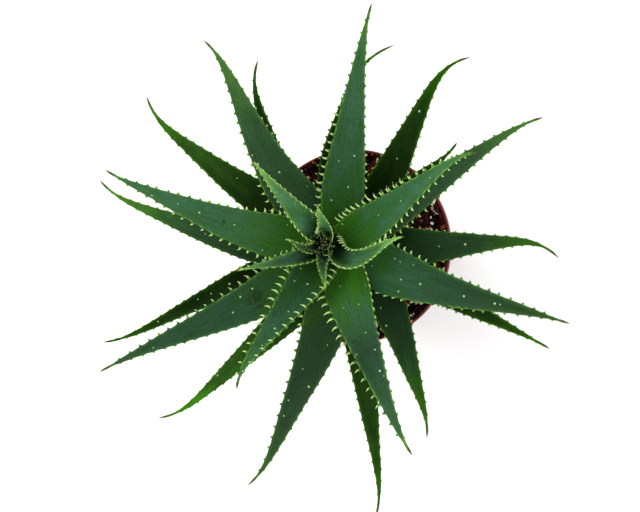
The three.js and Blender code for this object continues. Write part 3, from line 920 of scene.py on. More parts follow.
# %% [markdown]
# A last helper turns what was gathered into a piece: millimetres become metres, the marks become point
# attributes that a finish can read, every face gets its finish, and all faces are made to look outwards.
# The modelling tools could do each of these by hand, but there are 43 pieces.

# %% From gathered points to a piece
def write_marks(mesh, label, vectors):
    layer = mesh.attributes.new(label, "FLOAT_VECTOR", "POINT")
    layer.data.foreach_set("vector", [value for vector in vectors for value in vector])


def face_outwards(mesh):
    tidy = bmesh.new()
    tidy.from_mesh(mesh)
    bmesh.ops.recalc_face_normals(tidy, faces=tidy.faces)
    tidy.to_mesh(mesh)
    tidy.free()


def make_piece(name, gathered, finishes, marks, smooth=True):
    mesh = bpy.data.meshes.new(name)
    corners = [tuple(value * MM for value in point) for point in gathered.points]
    mesh.from_pydata(corners, [], gathered.faces)
    for label, vectors in marks.items():
        write_marks(mesh, label, vectors)
    for finish in finishes:
        mesh.materials.append(finish)
    mesh.polygons.foreach_set("material_index", gathered.finish)
    mesh.polygons.foreach_set("use_smooth", [smooth] * len(gathered.faces))
    face_outwards(mesh)
    made = bpy.data.objects.new(name, mesh)
    bpy.context.scene.collection.objects.link(made)
    return made


print("piece maker ready")

# %% [markdown]
# ## The blade
# The blade is a stack of closed rings, a little over a millimetre apart. Its edge wavers slowly and runs
# out in a cusp under each tooth, which gives the leaf its scalloped line. A straight edge with teeth on it
# would look like a comb. The first helper says how far the edge stands out at one place.

# %% The scalloped edge
CUSP_HEIGHT = 1.1
CUSP_REACH = 1.8
# a cusp counts for nothing further away than this many of its reaches
CUSP_LIMIT = 4
LEAST_CUSP = 0.4
CUSP_BY_SIZE = 0.6
SCALLOP_DEPTH = 0.3
# where half the width is less than this, the cusps are smaller
CUSP_FULL_HALF = 4
WAVER_LENGTH = 26
WAVER_DEPTH = 0.035
# steps through the noise from side to side and from leaf to leaf
SIDE_STEP = 3.7
WAVER_STEP = 5.1


def edge_reach(base, share, length, side, teeth, seed):
    swell = 0
    for at, size in teeth:
        away = abs(share - at) * length
        if away < CUSP_LIMIT * CUSP_REACH:
            swell += min(1, LEAST_CUSP + CUSP_BY_SIZE * size) * math.exp(-away / CUSP_REACH)
    swell = CUSP_HEIGHT * swell - SCALLOP_DEPTH
    waver = noise.noise(Vector((share * length / WAVER_LENGTH, side * SIDE_STEP, seed * WAVER_STEP)))
    return base * (1 + WAVER_DEPTH * waver) + swell * min(1, base / CUSP_FULL_HALF)


half = half_width(SAMPLE, 0.5)
bare = edge_reach(half, 0.5, blade_length(SAMPLE), LEFT, [], 0)
print("edge half way along", SAMPLE["name"], "between teeth:", round(bare, 1), "mm out")

# %% [markdown]
# Across a ring the upper side is a shallow, slightly lumpy channel and the lower side a rounded back. The
# ring runs from the left edge over the top to the right one and back underneath. A flat strip would need
# no back, but leaves of this plant are thick, and from the side that shows.

# %% Channel and rounded back
EDGE_THICKNESS = 1.0
EDGE_SHARE = 0.45
CUP_POWER = 1.5
BACK_POWER = 2.3
BACK_ROUNDNESS = 0.6
LUMP_HEIGHT = 0.3
LUMP_WIDTH = 9
LUMP_LENGTH = 17
LUMP_STEP = 2.3
LUMP_FADE = 4
# where half the width is less than this, the lumps are lower
LUMP_FULL_HALF = 5


def top_height(leaf, base, across, along, seed):
    cup = leaf["fold"] * base * abs(across) ** CUP_POWER
    spot = Vector((across * base / LUMP_WIDTH, along / LUMP_LENGTH, seed * LUMP_STEP))
    lump = LUMP_HEIGHT * noise.noise(spot)
    lump *= (1 - across ** LUMP_FADE) * min(1, base / LUMP_FULL_HALF)
    return cup + lump


def back_height(leaf, base, across, thickness):
    edge = min(EDGE_THICKNESS, EDGE_SHARE * thickness)
    cup = leaf["fold"] * base * abs(across) ** CUP_POWER
    round_back = (1 - abs(across) ** BACK_POWER) ** BACK_ROUNDNESS
    return cup - edge - (thickness - edge) * round_back


depth = top_height(SAMPLE, half, 0, 0, 0) - back_height(SAMPLE, half, 0, blade_thickness(SAMPLE, 0.5))
print(SAMPLE["name"], "is", round(depth, 1), "mm thick half way along")

# %% [markdown]
# Now the rings can be laid and joined. Each point also gets its marks: its share of the length, its place
# with its distance from the edge, and the depth of a bruise. An unwrapped map of the leaf could say the
# same, but it would stretch where the leaf narrows. The places of each leaf are shifted sideways from
# those of the one before, so that no two leaves show the same piece of the pattern.

# %% Lay the blade
RING_SPACING = 1.3
FEWEST_RINGS = 20
TOP_STEPS = 12
# how far before the tip the last ring lies, as a share of the spacing
LAST_RING = 0.4
# millimetres that the tip lies under the midrib
TIP_DROP = 0.4
# marks: the sideways shift from leaf to leaf, what the back adds to the distance from the edge, and the
# distance that the root is given
PATTERN_STEP = 61
BACK_GAP = 0.2
FAR_FROM_EDGE = 9


def lay_ring(mesh, leaf, share, length, teeth, seed):
    ahead, left, up = blade_frame(leaf, share)
    centre = midrib(leaf, share)
    base = half_width(leaf, share)
    thickness = blade_thickness(leaf, share)
    along = share * length
    reaches = {side: edge_reach(base, share, length, side, teeth[side], seed) for side in teeth}
    ring = []
    for turn in range(2 * TOP_STEPS + 2):
        above = turn <= TOP_STEPS
        step = turn if above else turn - TOP_STEPS - 1
        across = math.cos(math.pi * step / TOP_STEPS) * (1 if above else -1)
        half = reaches[LEFT if across > 0 else RIGHT]
        if above:
            height = top_height(leaf, base, across, along, seed)
            gap = half * (1 - abs(across))
            bruise = bruise_at(leaf, along, across * half)
        else:
            height = back_height(leaf, base, across, thickness)
            gap = half * (1 - abs(across)) + BACK_GAP
            bruise = 0
        point = centre + left * (across * half) + up * height
        place = (across * half + seed * PATTERN_STEP, along, gap)
        ring.append(mesh.add(point, (0, share, 0), place, bruise))
    return ring


def lay_blade(mesh, leaf, teeth, seed):
    length = blade_length(leaf)
    count = max(FEWEST_RINGS, round(length / RING_SPACING))
    shares = [i / count for i in range(count)] + [1 - LAST_RING / count]
    rings = [lay_ring(mesh, leaf, share, length, teeth, seed) for share in shares]
    mesh.rings(rings)
    shift = seed * PATTERN_STEP
    tip = midrib(leaf, 1) - blade_frame(leaf, 1)[2] * TIP_DROP
    mesh.fan(rings[-1], mesh.add(tip, (0, 1, 0), (shift, length, 0)))
    root = midrib(leaf, 0) - blade_frame(leaf, 0)[2] * blade_thickness(leaf, 0) / 2
    mesh.fan(rings[0], mesh.add(root, (0, 0, 0), (shift, 0, FAR_FROM_EDGE)))


print("blade layer ready")

# %% [markdown]
# ## The teeth
# Each tooth is a small horn set into the edge, and its point hooks towards the tip of the leaf. Most
# leaves are turned a little to one side, so the teeth of one edge stand up or lean over the blade while
# those of the other point outwards. A bump of teeth would be flat from the side, so each one is a closed
# shape of its own in the leaf's mesh.

# %% How the teeth stand
# degrees that they stand up from the blade near the stem
TOOTH_ROLLS = {"heart": 60, "inner": 85, "upper": 45, "middle": 45, "lower": 50}
# the same for leaves with angles of their own: left edge, right edge
OWN_ROLLS = {
    "inner_leaf_1": (50, 50),
    "inner_leaf_6": (105, 40),
    "upper_leaf_2": (145, 15),
    "upper_leaf_3": (85, 20),
    "upper_leaf_4": (45, 65),
    "upper_leaf_5": (50, 85),
    "upper_leaf_6": (60, 40),
    "upper_leaf_7": (95, 35),
    "middle_leaf_2": (95, 30),
    "middle_leaf_3": (50, 85),
    "lower_leaf_1": (90, 70),
    "lower_leaf_3": (55, 100),
    "lower_leaf_4": (90, 75),
    "lower_leaf_5": (85, 135),
    "lower_leaf_6": (85, 130),
    "lower_leaf_7": (100, 75),
    "lower_leaf_8": (100, 85),
    "lower_leaf_10": (80, 120),
}
ROLL_FALL = 0.3
FOOT_ON_CUSP = 0.5


def tooth_stand(leaf, share, side):
    ahead, left, up = blade_frame(leaf, share)
    base = half_width(leaf, share)
    half = base + FOOT_ON_CUSP * CUSP_HEIGHT * min(1, base / CUSP_FULL_HALF)
    usual = TOOTH_ROLLS[family(leaf)]
    left_roll, right_roll = OWN_ROLLS.get(leaf["name"], (usual, usual))
    own_roll = math.radians(left_roll if side == LEFT else right_roll)
    roll = own_roll * (1 - ROLL_FALL * share) + leaf["fold"] / 2
    outward = left * side * math.cos(roll) + up * math.sin(roll)
    foot = midrib(leaf, share) + left * (side * half) + up * (leaf["fold"] * base - EDGE_THICKNESS / 2)
    return foot, outward, ahead, up


print("leaves whose teeth have angles of their own:", len(OWN_ROLLS))

# %% [markdown]
# A tooth is a few small rings from a root sunk in the edge to its point, bent as they go. A cone would be
# less work, but it has no hook, and the hook is what makes these teeth look sharp.

# %% Lay a tooth
TOOTH_LENGTH = 5.8
TOOTH_SIDES = 6
# places of the rings as shares of the tooth's length, the first one sunk in the edge
TOOTH_ROWS = (-0.12, 0.15, 0.36, 0.56, 0.74, 0.88)
SUNK_ROOT = 0.12
# how far the hook draws the point in
DRAWN_IN = 0.12
LENGTH_SPREAD = (0.9, 1.1)
HOOK_SPREAD = (0.35, 0.6)
STAND_SPREAD = (-0.06, 0.1)
HOOK_BEND = 2.4
# width at the root, its share in the smallest tooth, what size adds to that, its taper and the least of it
TOOTH_ROOT = 2.4
SMALL_WIDTH, WIDTH_BY_SIZE, WIDTH_TAPER, LEAST_WIDTH = 0.65, 0.35, 0.9, 0.05
# half the thickness at the root, and the same four numbers for it
HALF_THICK = 0.6
SMALL_THICK, THICK_BY_SIZE, THICK_TAPER, LEAST_THICK = 0.4, 0.6, 0.7, 0.04
HORN_SLOT = 1


def lay_tooth(mesh, leaf, share, size, side, draw):
    foot, outward, ahead, up = tooth_stand(leaf, share, side)
    flat = outward.cross(ahead).normalized()
    length = TOOTH_LENGTH * size * draw.uniform(*LENGTH_SPREAD)
    hook = draw.uniform(*HOOK_SPREAD)
    stand = draw.uniform(*STAND_SPREAD)
    rings = []
    for row in TOOTH_ROWS:
        out = max(row, 0)
        centre = foot + outward * length * (row - DRAWN_IN * out * out)
        centre += ahead * length * hook * out ** HOOK_BEND + up * length * stand * out ** 2
        full = TOOTH_ROOT / 2 * (SMALL_WIDTH + WIDTH_BY_SIZE * size)
        wide = full * (1 - out) ** WIDTH_TAPER + LEAST_WIDTH
        full = HALF_THICK * (SMALL_THICK + THICK_BY_SIZE * size)
        thick = full * (1 - out) ** THICK_TAPER + LEAST_THICK
        ring = []
        for turn in range(TOOTH_SIDES):
            angle = 2 * math.pi * turn / TOOTH_SIDES
            point = centre + ahead * (wide * math.cos(angle)) + flat * (thick * math.sin(angle))
            ring.append(mesh.add(point, (out, share, 0)))
        rings.append(ring)
    mesh.rings(rings, HORN_SLOT)
    point = foot + outward * length * (1 - DRAWN_IN) + ahead * length * hook + up * length * stand
    mesh.fan(rings[-1], mesh.add(point, (1, share, 0)), HORN_SLOT)
    mesh.fan(rings[0], mesh.add(foot - outward * length * SUNK_ROOT, (0, share, 0)), HORN_SLOT)


print("tooth layer ready")

# %% [markdown]
# A whole leaf is one blade with two rows of teeth, in one mesh with two finishes. Blade and teeth could
# be separate pieces, but a tooth isn't taken off a leaf. The marks for painted shade and light, and for
# freshness, are worked out here, because they depend on which leaf it is.

# %% Build a leaf
FIRST_SEED = 100


def build_leaf(leaf, seed):
    draw = random.Random(FIRST_SEED + seed)
    teeth = {side: tooth_places(leaf, side, draw) for side in (LEFT, RIGHT)}
    mesh = Gathered()
    lay_blade(mesh, leaf, teeth, seed)
    for side, places in teeth.items():
        for share, size in places:
            lay_tooth(mesh, leaf, share, size, side, draw)
    mood = LEAF_SHADE_AND_FRESHNESS.get(leaf["name"], BUD_SHADE_AND_FRESHNESS)
    moods = []
    for share, bruise in zip(mesh.share, mesh.bruise):
        moods.append((lightness_at(mood, share[1]), mood[3], bruise))
    age = "fading" if leaf["name"] in FADING else family(leaf)
    marks = {"leaf_share": mesh.share, "leaf_place": mesh.place, "leaf_mood": moods}
    made = make_piece(leaf["name"] + "_blade", mesh, [leaf_finishes[age], tooth_horn], marks)
    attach(made, "root")
    return made


print("leaf builder ready")

# %% [markdown]
# ## The rosette
# Each row becomes one leaf, with a seed of its own for its small unevenness. The leaves could be joined
# into one mesh, but each fine leaf takes the place of the plain one with the same name, so every leaf
# stays a piece that can be picked by itself.

# %% Grow the rosette
blades = [build_leaf(leaf, seed) for seed, leaf in enumerate(LEAVES)]
for blade, leaf in zip(blades, LEAVES):
    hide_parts(leaf["name"])
print("blades:", len(blades), "faces:", sum(len(blade.data.polygons) for blade in blades))

# %% [markdown]
# ## Buds at the heart
# In the dark middle of the rosette the next leaves are only just pushing out, toothed tips about two
# centimetres long and a few millimetres wide. A dark hole would look unfinished, and they are too small
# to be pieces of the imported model. So the same builder makes them here, rooted in the top of the stem.

# %% Grow the buds
FIRST_BUD_SEED = 50
BUD_ROWS = [
    ("heart_bud_1", 20, 202.5, 8, 22, 1, -1, 0, 5.5, 0.7),
    ("heart_bud_2", 140, 202, 8, 19, 1, 1, 0, 6, 0.7),
    ("heart_bud_3", 262, 202.5, 7, 24, 1, 1, 0, 5, 0.7),
]
buds = [build_leaf(dict(zip(FIELDS, row)), FIRST_BUD_SEED + i) for i, row in enumerate(BUD_ROWS)]
print("buds:", len(buds))

# %% [markdown]
# ## The stem
# The stem is short and hidden by the leaves. Where it shows between the lowest ones it is dry and ringed
# by the scars of leaves that have dropped, and near its top it is young and green, painted nearly black
# there as the shade in the heart. A photo of bark would show its seams, so a noise squashed from above
# draws the rings, and the height sets the age and the painted shade.

# %% Stem finish
DRY_BARK = tint(88, 92, 46), tint(134, 118, 74)
# young green bark at the top, painted nearly black as the shade in the heart of the rosette
YOUNG_BARK_AND_SHADE = tint(8, 18, 4), tint(24, 44, 12)
SCAR_TINT = tint(74, 56, 36)
STEM_DUST_TINT = tint(116, 88, 62)
RING_GRAIN = (20, 20, 420)
# metres above the floor
YOUNG_AND_SHADED_SPAN = (0.17, 0.19)
STEM_RELIEF = 0.0008

stem_bark, tree, shader = start_material("stem_bark", roughness=0.75, shine=0.2)
place = own_place(tree)
uneven = place_group(tree, mottling, {"Place": place, "Scale": 90.0, "Fine Share": 0.45})["Mask"]
cloudy = soft_step(tree, uneven, start=0.35, end=0.65)
rings = cloud(tree, stretch(tree, place, RING_GRAIN), scale=1.0, detail=3.0)
scarred = soft_step(tree, rings, start=0.5, end=0.62)
bark = mix_tints(tree, scarred, mix_tints(tree, cloudy, *DRY_BARK), SCAR_TINT)
young_and_shaded = soft_step(tree, axes(tree, place)["Z"], *YOUNG_AND_SHADED_SPAN)
bark = mix_tints(tree, young_and_shaded, bark, mix_tints(tree, cloudy, *YOUNG_BARK_AND_SHADE))
settled = place_group(tree, dust, {"Place": place, "Scale": 70.0, "Amount": 0.4})["Mask"]
feed(tree, shader.inputs["Base Color"], mix_tints(tree, settled, bark, STEM_DUST_TINT))
relief(tree, shader, total(tree, "ADD", uneven, rings), STEM_RELIEF)
print("finish:", stem_bark.name)

# %% [markdown]
# Its shape is a stack of rings round the leaning axis. A bevelled curve would be quicker and perfectly
# round. Here each scar draws the radius in a little, and a noise keeps it from being even.

# %% Stem shape
# height, radius
STEM_PROFILE = [(88, 12.4), (120, 12.4), (140, 11.5), (162, 10.4), (184, 8.2), (199, 5.9), (204, 3.4)]
STEM_SIDES = 48
STEM_SPACING = 1.2
SCAR_PITCH = 5.2
SCAR_SHIFT = 1.6
SCAR_DEPTH = 0.7
WOBBLE_DEPTH = 0.25
WOBBLE_ROUND = 1.5
WOBBLE_HEIGHT = 9


def profile_radius(profile, height):
    for (low, first), (high, second) in zip(profile, profile[1:]):
        if height <= high:
            return first + (second - first) * (height - low) / (high - low)
    return profile[-1][1]


def stem_ring(mesh, height):
    ring = []
    for turn in range(STEM_SIDES):
        angle = 2 * math.pi * turn / STEM_SIDES
        x, y = math.cos(angle), math.sin(angle)
        wobble = noise.noise(Vector((x * WOBBLE_ROUND, y * WOBBLE_ROUND, height / WOBBLE_HEIGHT)))
        scar = ((height + SCAR_SHIFT * wobble) / SCAR_PITCH) % 1
        radius = profile_radius(STEM_PROFILE, height) - SCAR_DEPTH * scar ** 2 - WOBBLE_DEPTH * abs(wobble)
        ring.append(mesh.add(stem_axis(height) + Vector((x, y, 0)) * radius))
    return ring


stem_mesh = Gathered()
foot, top = STEM_PROFILE[0][0], STEM_PROFILE[-1][0]
count = round((top - foot) / STEM_SPACING)
rings = [stem_ring(stem_mesh, foot + (top - foot) * i / count) for i in range(count + 1)]
stem_mesh.rings(rings)
stem_mesh.fan(rings[0], stem_mesh.add(stem_axis(foot)))
stem_mesh.fan(rings[-1], stem_mesh.add(stem_axis(top)))
stem = make_piece("ringed_stem", stem_mesh, [stem_bark], {})
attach(stem, "root")
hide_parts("stem")
print("stem faces:", len(stem.data.polygons))

# %% [markdown]
# ## The pot
# The pot is moulded from terracotta-coloured plastic, a little duller where dust lies on its lip and
# dotted with crumbs of mix. One plain colour would look like paint, so two close tints are mottled and
# the shine varies with them.

# %% Pot finish
TERRACOTTA = tint(84, 18, 6), tint(108, 30, 14)
POT_DUST_TINT = tint(102, 50, 38)
POT_CRUMB_TINT = tint(60, 30, 22)
CRUMB_STRENGTH = 0.5
MOULDED_ROUGHNESS = 0.34
ROUGHNESS_SPREAD = 0.3
DUST_DULLNESS = 0.3
POT_RELIEF = 0.0003

pot_plastic, tree, shader = start_material("pot_plastic", roughness=0.5, shine=0.22)
place = own_place(tree)
uneven = place_group(tree, mottling, {"Place": place, "Scale": 45.0, "Fine Share": 0.5})["Mask"]
grime = place_group(tree, dust, {"Place": place, "Scale": 55.0, "Amount": 0.25})["Mask"]
crumb_values = {"Place": place, "Scale": 260.0, "Spot": 0.3, "Filled Share": 0.12}
crumbs = place_group(tree, specks, crumb_values)["Mask"]
plastic = mix_tints(tree, soft_step(tree, uneven, start=0.3, end=0.7), *TERRACOTTA)
plastic = mix_tints(tree, grime, plastic, POT_DUST_TINT)
plastic = mix_tints(tree, total(tree, "MULTIPLY", crumbs, CRUMB_STRENGTH), plastic, POT_CRUMB_TINT)
feed(tree, shader.inputs["Base Color"], plastic)
rough = total(tree, "ADD", total(tree, "MULTIPLY", uneven, ROUGHNESS_SPREAD), MOULDED_ROUGHNESS)
rough = total(tree, "ADD", rough, total(tree, "MULTIPLY", grime, DUST_DULLNESS))
feed(tree, shader.inputs["Roughness"], rough)
relief(tree, shader, uneven, POT_RELIEF)
print("finish:", pot_plastic.name)

# %% [markdown]
# The pot is one moulding: a tapering wall, a stepped collar and a rounded lip. It could stay as the packed
# one, but that has flat sides and sharp corners. So its outline is drawn again, up the outside and down
# the inside, and each corner is rounded by as much as its third number says.

# %% The pot's outline
# radius, height, length of the rounding on each side of the corner
POT_OUTLINE = [
    (0, 0, 0), (49.6, 0, 1.2), (52, 2.2, 1.4), (72.0, 110.8, 0.8), (72.6, 112.0, 0.5), (74.2, 112.1, 0.9),
    (75, 113.4, 0.6), (75, 125, 1.1), (72.9, 125, 0.9), (72, 114.6, 0.8), (70.2, 112.4, 1.5),
    (69.6, 110, 1.0), (50.3, 4.2, 2.0), (47.6, 2.4, 1.0), (0, 2.4, 0),
]
ROUND_STEPS = 4


def rounded_outline(outline):
    points = [outline[0][:2]]
    for (ax, az, _), (bx, bz, size), (cx, cz, _) in zip(outline, outline[1:], outline[2:]):
        corner = Vector((bx, bz))
        before = Vector((ax, az)) - corner
        after = Vector((cx, cz)) - corner
        start = corner + before.normalized() * min(size, before.length / 2)
        end = corner + after.normalized() * min(size, after.length / 2)
        for i in range(ROUND_STEPS + 1):
            t = i / ROUND_STEPS
            spot = start * (1 - t) ** 2 + corner * 2 * t * (1 - t) + end * t * t
            points.append((spot.x, spot.y))
    points.append(outline[-1][:2])
    return points


print("outline corners:", len(POT_OUTLINE), "points when rounded:", len(rounded_outline(POT_OUTLINE)))

# %% [markdown]
# Then the outline is turned round the pot's axis, as on a potter's wheel. A screw modifier would do the
# same, but this helper can also shift each point up or down, which the ground will need.

# %% Turn the pot
POT_SIDES = 168


def as_drawn(x, y, height):
    return height


def turned(outline, sides, shift=as_drawn):
    mesh = Gathered()
    rings = []
    for radius, height in outline[1:-1]:
        ring = []
        for turn in range(sides):
            angle = 2 * math.pi * turn / sides
            x, y = radius * math.cos(angle), radius * math.sin(angle)
            ring.append(mesh.add((x, y, shift(x, y, height))))
        rings.append(ring)
    mesh.rings(rings)
    mesh.fan(rings[0], mesh.add((0, 0, outline[0][1])))
    mesh.fan(rings[-1], mesh.add((0, 0, outline[-1][1])))
    return mesh


pot = make_piece("pot_shell", turned(rounded_outline(POT_OUTLINE), POT_SIDES), [pot_plastic], {})
print("pot faces before drilling:", len(pot.data.polygons))

# %% [markdown]
# Water has to run out, so the floor has six drain holes. They could be left out, as the photo hides them,
# but a pot without them looks wrong from below. Six short rods are cut away from the pot in one go.

# %% Drill the drain holes
DRAIN_HOLES = 6
DRAIN_RADIUS = 5
DRAIN_CIRCLE = 36
DRILL_SIDES = 40
DRILL_LENGTH = 12

drill = bmesh.new()
for i in range(DRAIN_HOLES):
    angle = 2 * math.pi * i / DRAIN_HOLES
    made = bmesh.ops.create_cone(drill, cap_ends=True, segments=DRILL_SIDES, radius1=DRAIN_RADIUS * MM,
                                 radius2=DRAIN_RADIUS * MM, depth=DRILL_LENGTH * MM)
    place = Vector((math.cos(angle), math.sin(angle), 0)) * DRAIN_CIRCLE * MM
    bmesh.ops.translate(drill, verts=made["verts"], vec=place)
drill_mesh = bpy.data.meshes.new("drill")
drill.to_mesh(drill_mesh)
drill.free()
drill_piece = bpy.data.objects.new("drill", drill_mesh)
bpy.context.scene.collection.objects.link(drill_piece)

cut = pot.modifiers.new("drain_holes", "BOOLEAN")
cut.object = drill_piece
cut.solver = "EXACT"
bpy.context.view_layer.update()
holed = bpy.data.meshes.new_from_object(pot.evaluated_get(bpy.context.evaluated_depsgraph_get()))
pot.modifiers.clear()
pot.data = holed
bpy.data.objects.remove(drill_piece)
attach(pot, "root")
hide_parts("pot")
print("pot faces:", len(pot.data.polygons))

# %% [markdown]
# ## The potting mix
# The mix is bark, grit and fibre, nearly black where it is damp, with a few white grains of perlite. Ground,
# chips and fibres could each have a finish, but one serves them all. Every chip carries a tone of its own,
# drawn by chance, and that tone with some mottling picks a brown between nearly black and pale. The palest
# chips are partly pale bark and partly painted glints of light on the wet chips.

# %% Potting mix finish
DAMP_TINT = tint(14, 4, 3)
BROWN_TINT = tint(84, 27, 13)
# pale bark, partly a painted glint of light on the wet chips
PALE_AND_GLINT_TINT = tint(190, 104, 72)
GRIT_TINT = tint(214, 176, 150)
TONE_SHARE = 0.7
CLOUD_SHARE = 0.5
MIX_ROUGHNESS = 0.4
MIX_ROUGHNESS_SPREAD = 0.4
MIX_RELIEF = 0.0012

damp_bark, tree, shader = start_material("damp_bark", roughness=0.7, shine=0.12)
place = own_place(tree)
uneven = place_group(tree, mottling, {"Place": place, "Scale": 240.0, "Fine Share": 0.5})["Mask"]
tone = axes(tree, read_marks(tree, "chip_tone"))["X"]
mixed = total(tree, "MULTIPLY", tone, TONE_SHARE)
mixed = total(tree, "ADD", mixed, total(tree, "MULTIPLY", uneven, CLOUD_SHARE))
chip = mix_tints(tree, soft_step(tree, mixed, start=0.4, end=0.95), DAMP_TINT, BROWN_TINT)
chip = mix_tints(tree, soft_step(tree, mixed, start=0.84, end=1.0), chip, PALE_AND_GLINT_TINT)
grit_values = {"Place": place, "Scale": 420.0, "Spot": 0.3, "Filled Share": 0.1}
chip = mix_tints(tree, place_group(tree, specks, grit_values)["Mask"], chip, GRIT_TINT)
feed(tree, shader.inputs["Base Color"], chip)
rough = total(tree, "ADD", total(tree, "MULTIPLY", uneven, MIX_ROUGHNESS_SPREAD), MIX_ROUGHNESS)
feed(tree, shader.inputs["Roughness"], rough)
relief(tree, shader, uneven, MIX_RELIEF)
print("finish:", damp_bark.name)

# %% [markdown]
# Perlite is a puffed volcanic glass, chalky white and full of pores. A flat white would look like paper,
# so two near whites are mottled, and the same mottling pits the surface.

# %% Perlite finish
PERLITE_TINTS = tint(248, 236, 218), tint(255, 252, 246)
PORE_RELIEF = 0.0006

perlite, tree, shader = start_material("perlite", roughness=0.8, shine=0.3)
pores = place_group(tree, mottling, {"Place": own_place(tree), "Scale": 520.0, "Fine Share": 0.5})["Mask"]
grain = mix_tints(tree, soft_step(tree, pores, start=0.35, end=0.6), *PERLITE_TINTS)
feed(tree, shader.inputs["Base Color"], grain)
relief(tree, shader, pores, PORE_RELIEF)
print("finish:", perlite.name)

# %% [markdown]
# ## The ground
# The ground is one solid that fills the pot, with a well in the middle for the stem. A flat lid would show
# between the chips, so its top is pushed up and down by two noises, less so towards the wall.

# %% Ground
SOIL_LEVEL = 112.4
SOIL_SIDES = 120
# radius, height
WELL = [(0, 88), (12.7, 88), (12.7, 100), (12.7, 110), (12.8, SOIL_LEVEL)]
TOP = [(radius, SOIL_LEVEL) for radius in range(15, 68, 2)]
PLUG = [(68.6, SOIL_LEVEL - 0.5), (69.2, 109.4), (50.2, 7), (48, 2.8), (0, 2.7)]
# only points this near to the level are pushed
TOP_BAND = 0.7
# height of the lumps, their width, and which slice of the noise they come from
LUMPS = [(1.1, 9, 3.1), (0.7, 3.4, 8.7)]
CALM_RADIUS = 68
CALM_SHARE = 0.6
CALM_POWER = 6


def soil_height(x, y, z):
    if z < SOIL_LEVEL - TOP_BAND:
        return z
    lumps = 0
    for height, width, level in LUMPS:
        lumps += height * noise.noise(Vector((x / width, y / width, level)))
    return z + lumps * (1 - CALM_SHARE * (math.hypot(x, y) / CALM_RADIUS) ** CALM_POWER)


ground_mesh = turned(WELL + TOP + PLUG, SOIL_SIDES, soil_height)
ground = make_piece("bark_ground", ground_mesh, [damp_bark], {"chip_tone": ground_mesh.share})
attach(ground, "root")
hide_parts("soil")
print("ground faces:", len(ground.data.polygons))

# %% [markdown]
# ## Loose bits on top
# Chips of bark lie all over the ground and bank up against the wall, a few crumbs sit on the lip, and
# white grains and thin fibres lie between them. Each bit starts as a small ball that is squashed, turned
# and pushed about, and all bits of a kind are joined into one piece. Real particles could scatter them,
# but those are lost when the model leaves Blender, so they are real faces.

# %% Balls to start from
def ball(fineness):
    made = bmesh.new()
    bmesh.ops.create_icosphere(made, subdivisions=fineness, radius=1)
    points = [vertex.co.copy() for vertex in made.verts]
    faces = [tuple(vertex.index for vertex in face.verts) for face in made.faces]
    made.free()
    return points, faces


FINE_BALL = ball(2)
ROUGH_BALL = ball(1)
print("faces of a ball, fine and rough:", len(FINE_BALL[1]), len(ROUGH_BALL[1]))

# %% [markdown]
# A bit lies somewhere in a ring round the axis. The root of a drawn square gives the radius, because a
# plain draw would crowd the bits in the middle. Close to the wall the mix is banked up, so a bit there
# lies higher.

# %% Where a bit lies
BANK_START = 66.5
BANK_SLOPE = 2.0


def spot_on_soil(draw, ring):
    inner, outer = ring
    radius = math.sqrt(draw.uniform(inner ** 2, outer ** 2))
    angle = draw.uniform(0, 2 * math.pi)
    x, y = radius * math.cos(angle), radius * math.sin(angle)
    bank = BANK_SLOPE * max(0, radius - BANK_START)
    return Vector((x, y, soil_height(x, y, SOIL_LEVEL) + bank))


trial = spot_on_soil(random.Random(0), (BANK_START, BANK_START + 1))
print("a bit near the wall lies", round(trial.z, 1), "mm up")

# %% [markdown]
# One bit is a ball that is squashed, turned and pushed in and out by a noise, with a tone drawn for it.
# The balls could be used as they are, but then the mix would look like beads.

# %% Shape a bit
MOST_LEAN = 0.7
ROUND_TURN = 6.28
NOISE_SPREAD = 500
PUSH_GRAIN = 1.7


def add_bit(mesh, draw, centre, size, shape, start_ball, push):
    lean = draw.uniform(-MOST_LEAN, MOST_LEAN), draw.uniform(-MOST_LEAN, MOST_LEAN)
    turn = Euler((*lean, draw.uniform(0, ROUND_TURN))).to_matrix()
    seed = draw.uniform(0, NOISE_SPREAD)
    tone = draw.random()
    points, faces = start_ball
    start = len(mesh.points)
    for point in points:
        pushed = 1 + push * noise.noise(point * PUSH_GRAIN + Vector((seed, seed, seed)))
        spot = turn @ Vector(tuple(point[k] * shape[k] * size * pushed for k in range(3)))
        mesh.add(centre + spot, (tone, 0, 0))
    for face in faces:
        mesh.faces.append(tuple(start + i for i in face))
        mesh.finish.append(0)


print("bit shaper ready")

# %% [markdown]
# Five kinds of loose bits differ only in their values: how many, how large, how long, wide and high, how
# rough, how far they are lifted and in which ring they lie. Five cells could say nearly the same, so one
# list and one loop do. The bits are left flat-shaded, because broken bark has facets.

# %% Scatter the bits
# radii between which bits lie on the open ground
OPEN_GROUND = (14.5, 67.5)
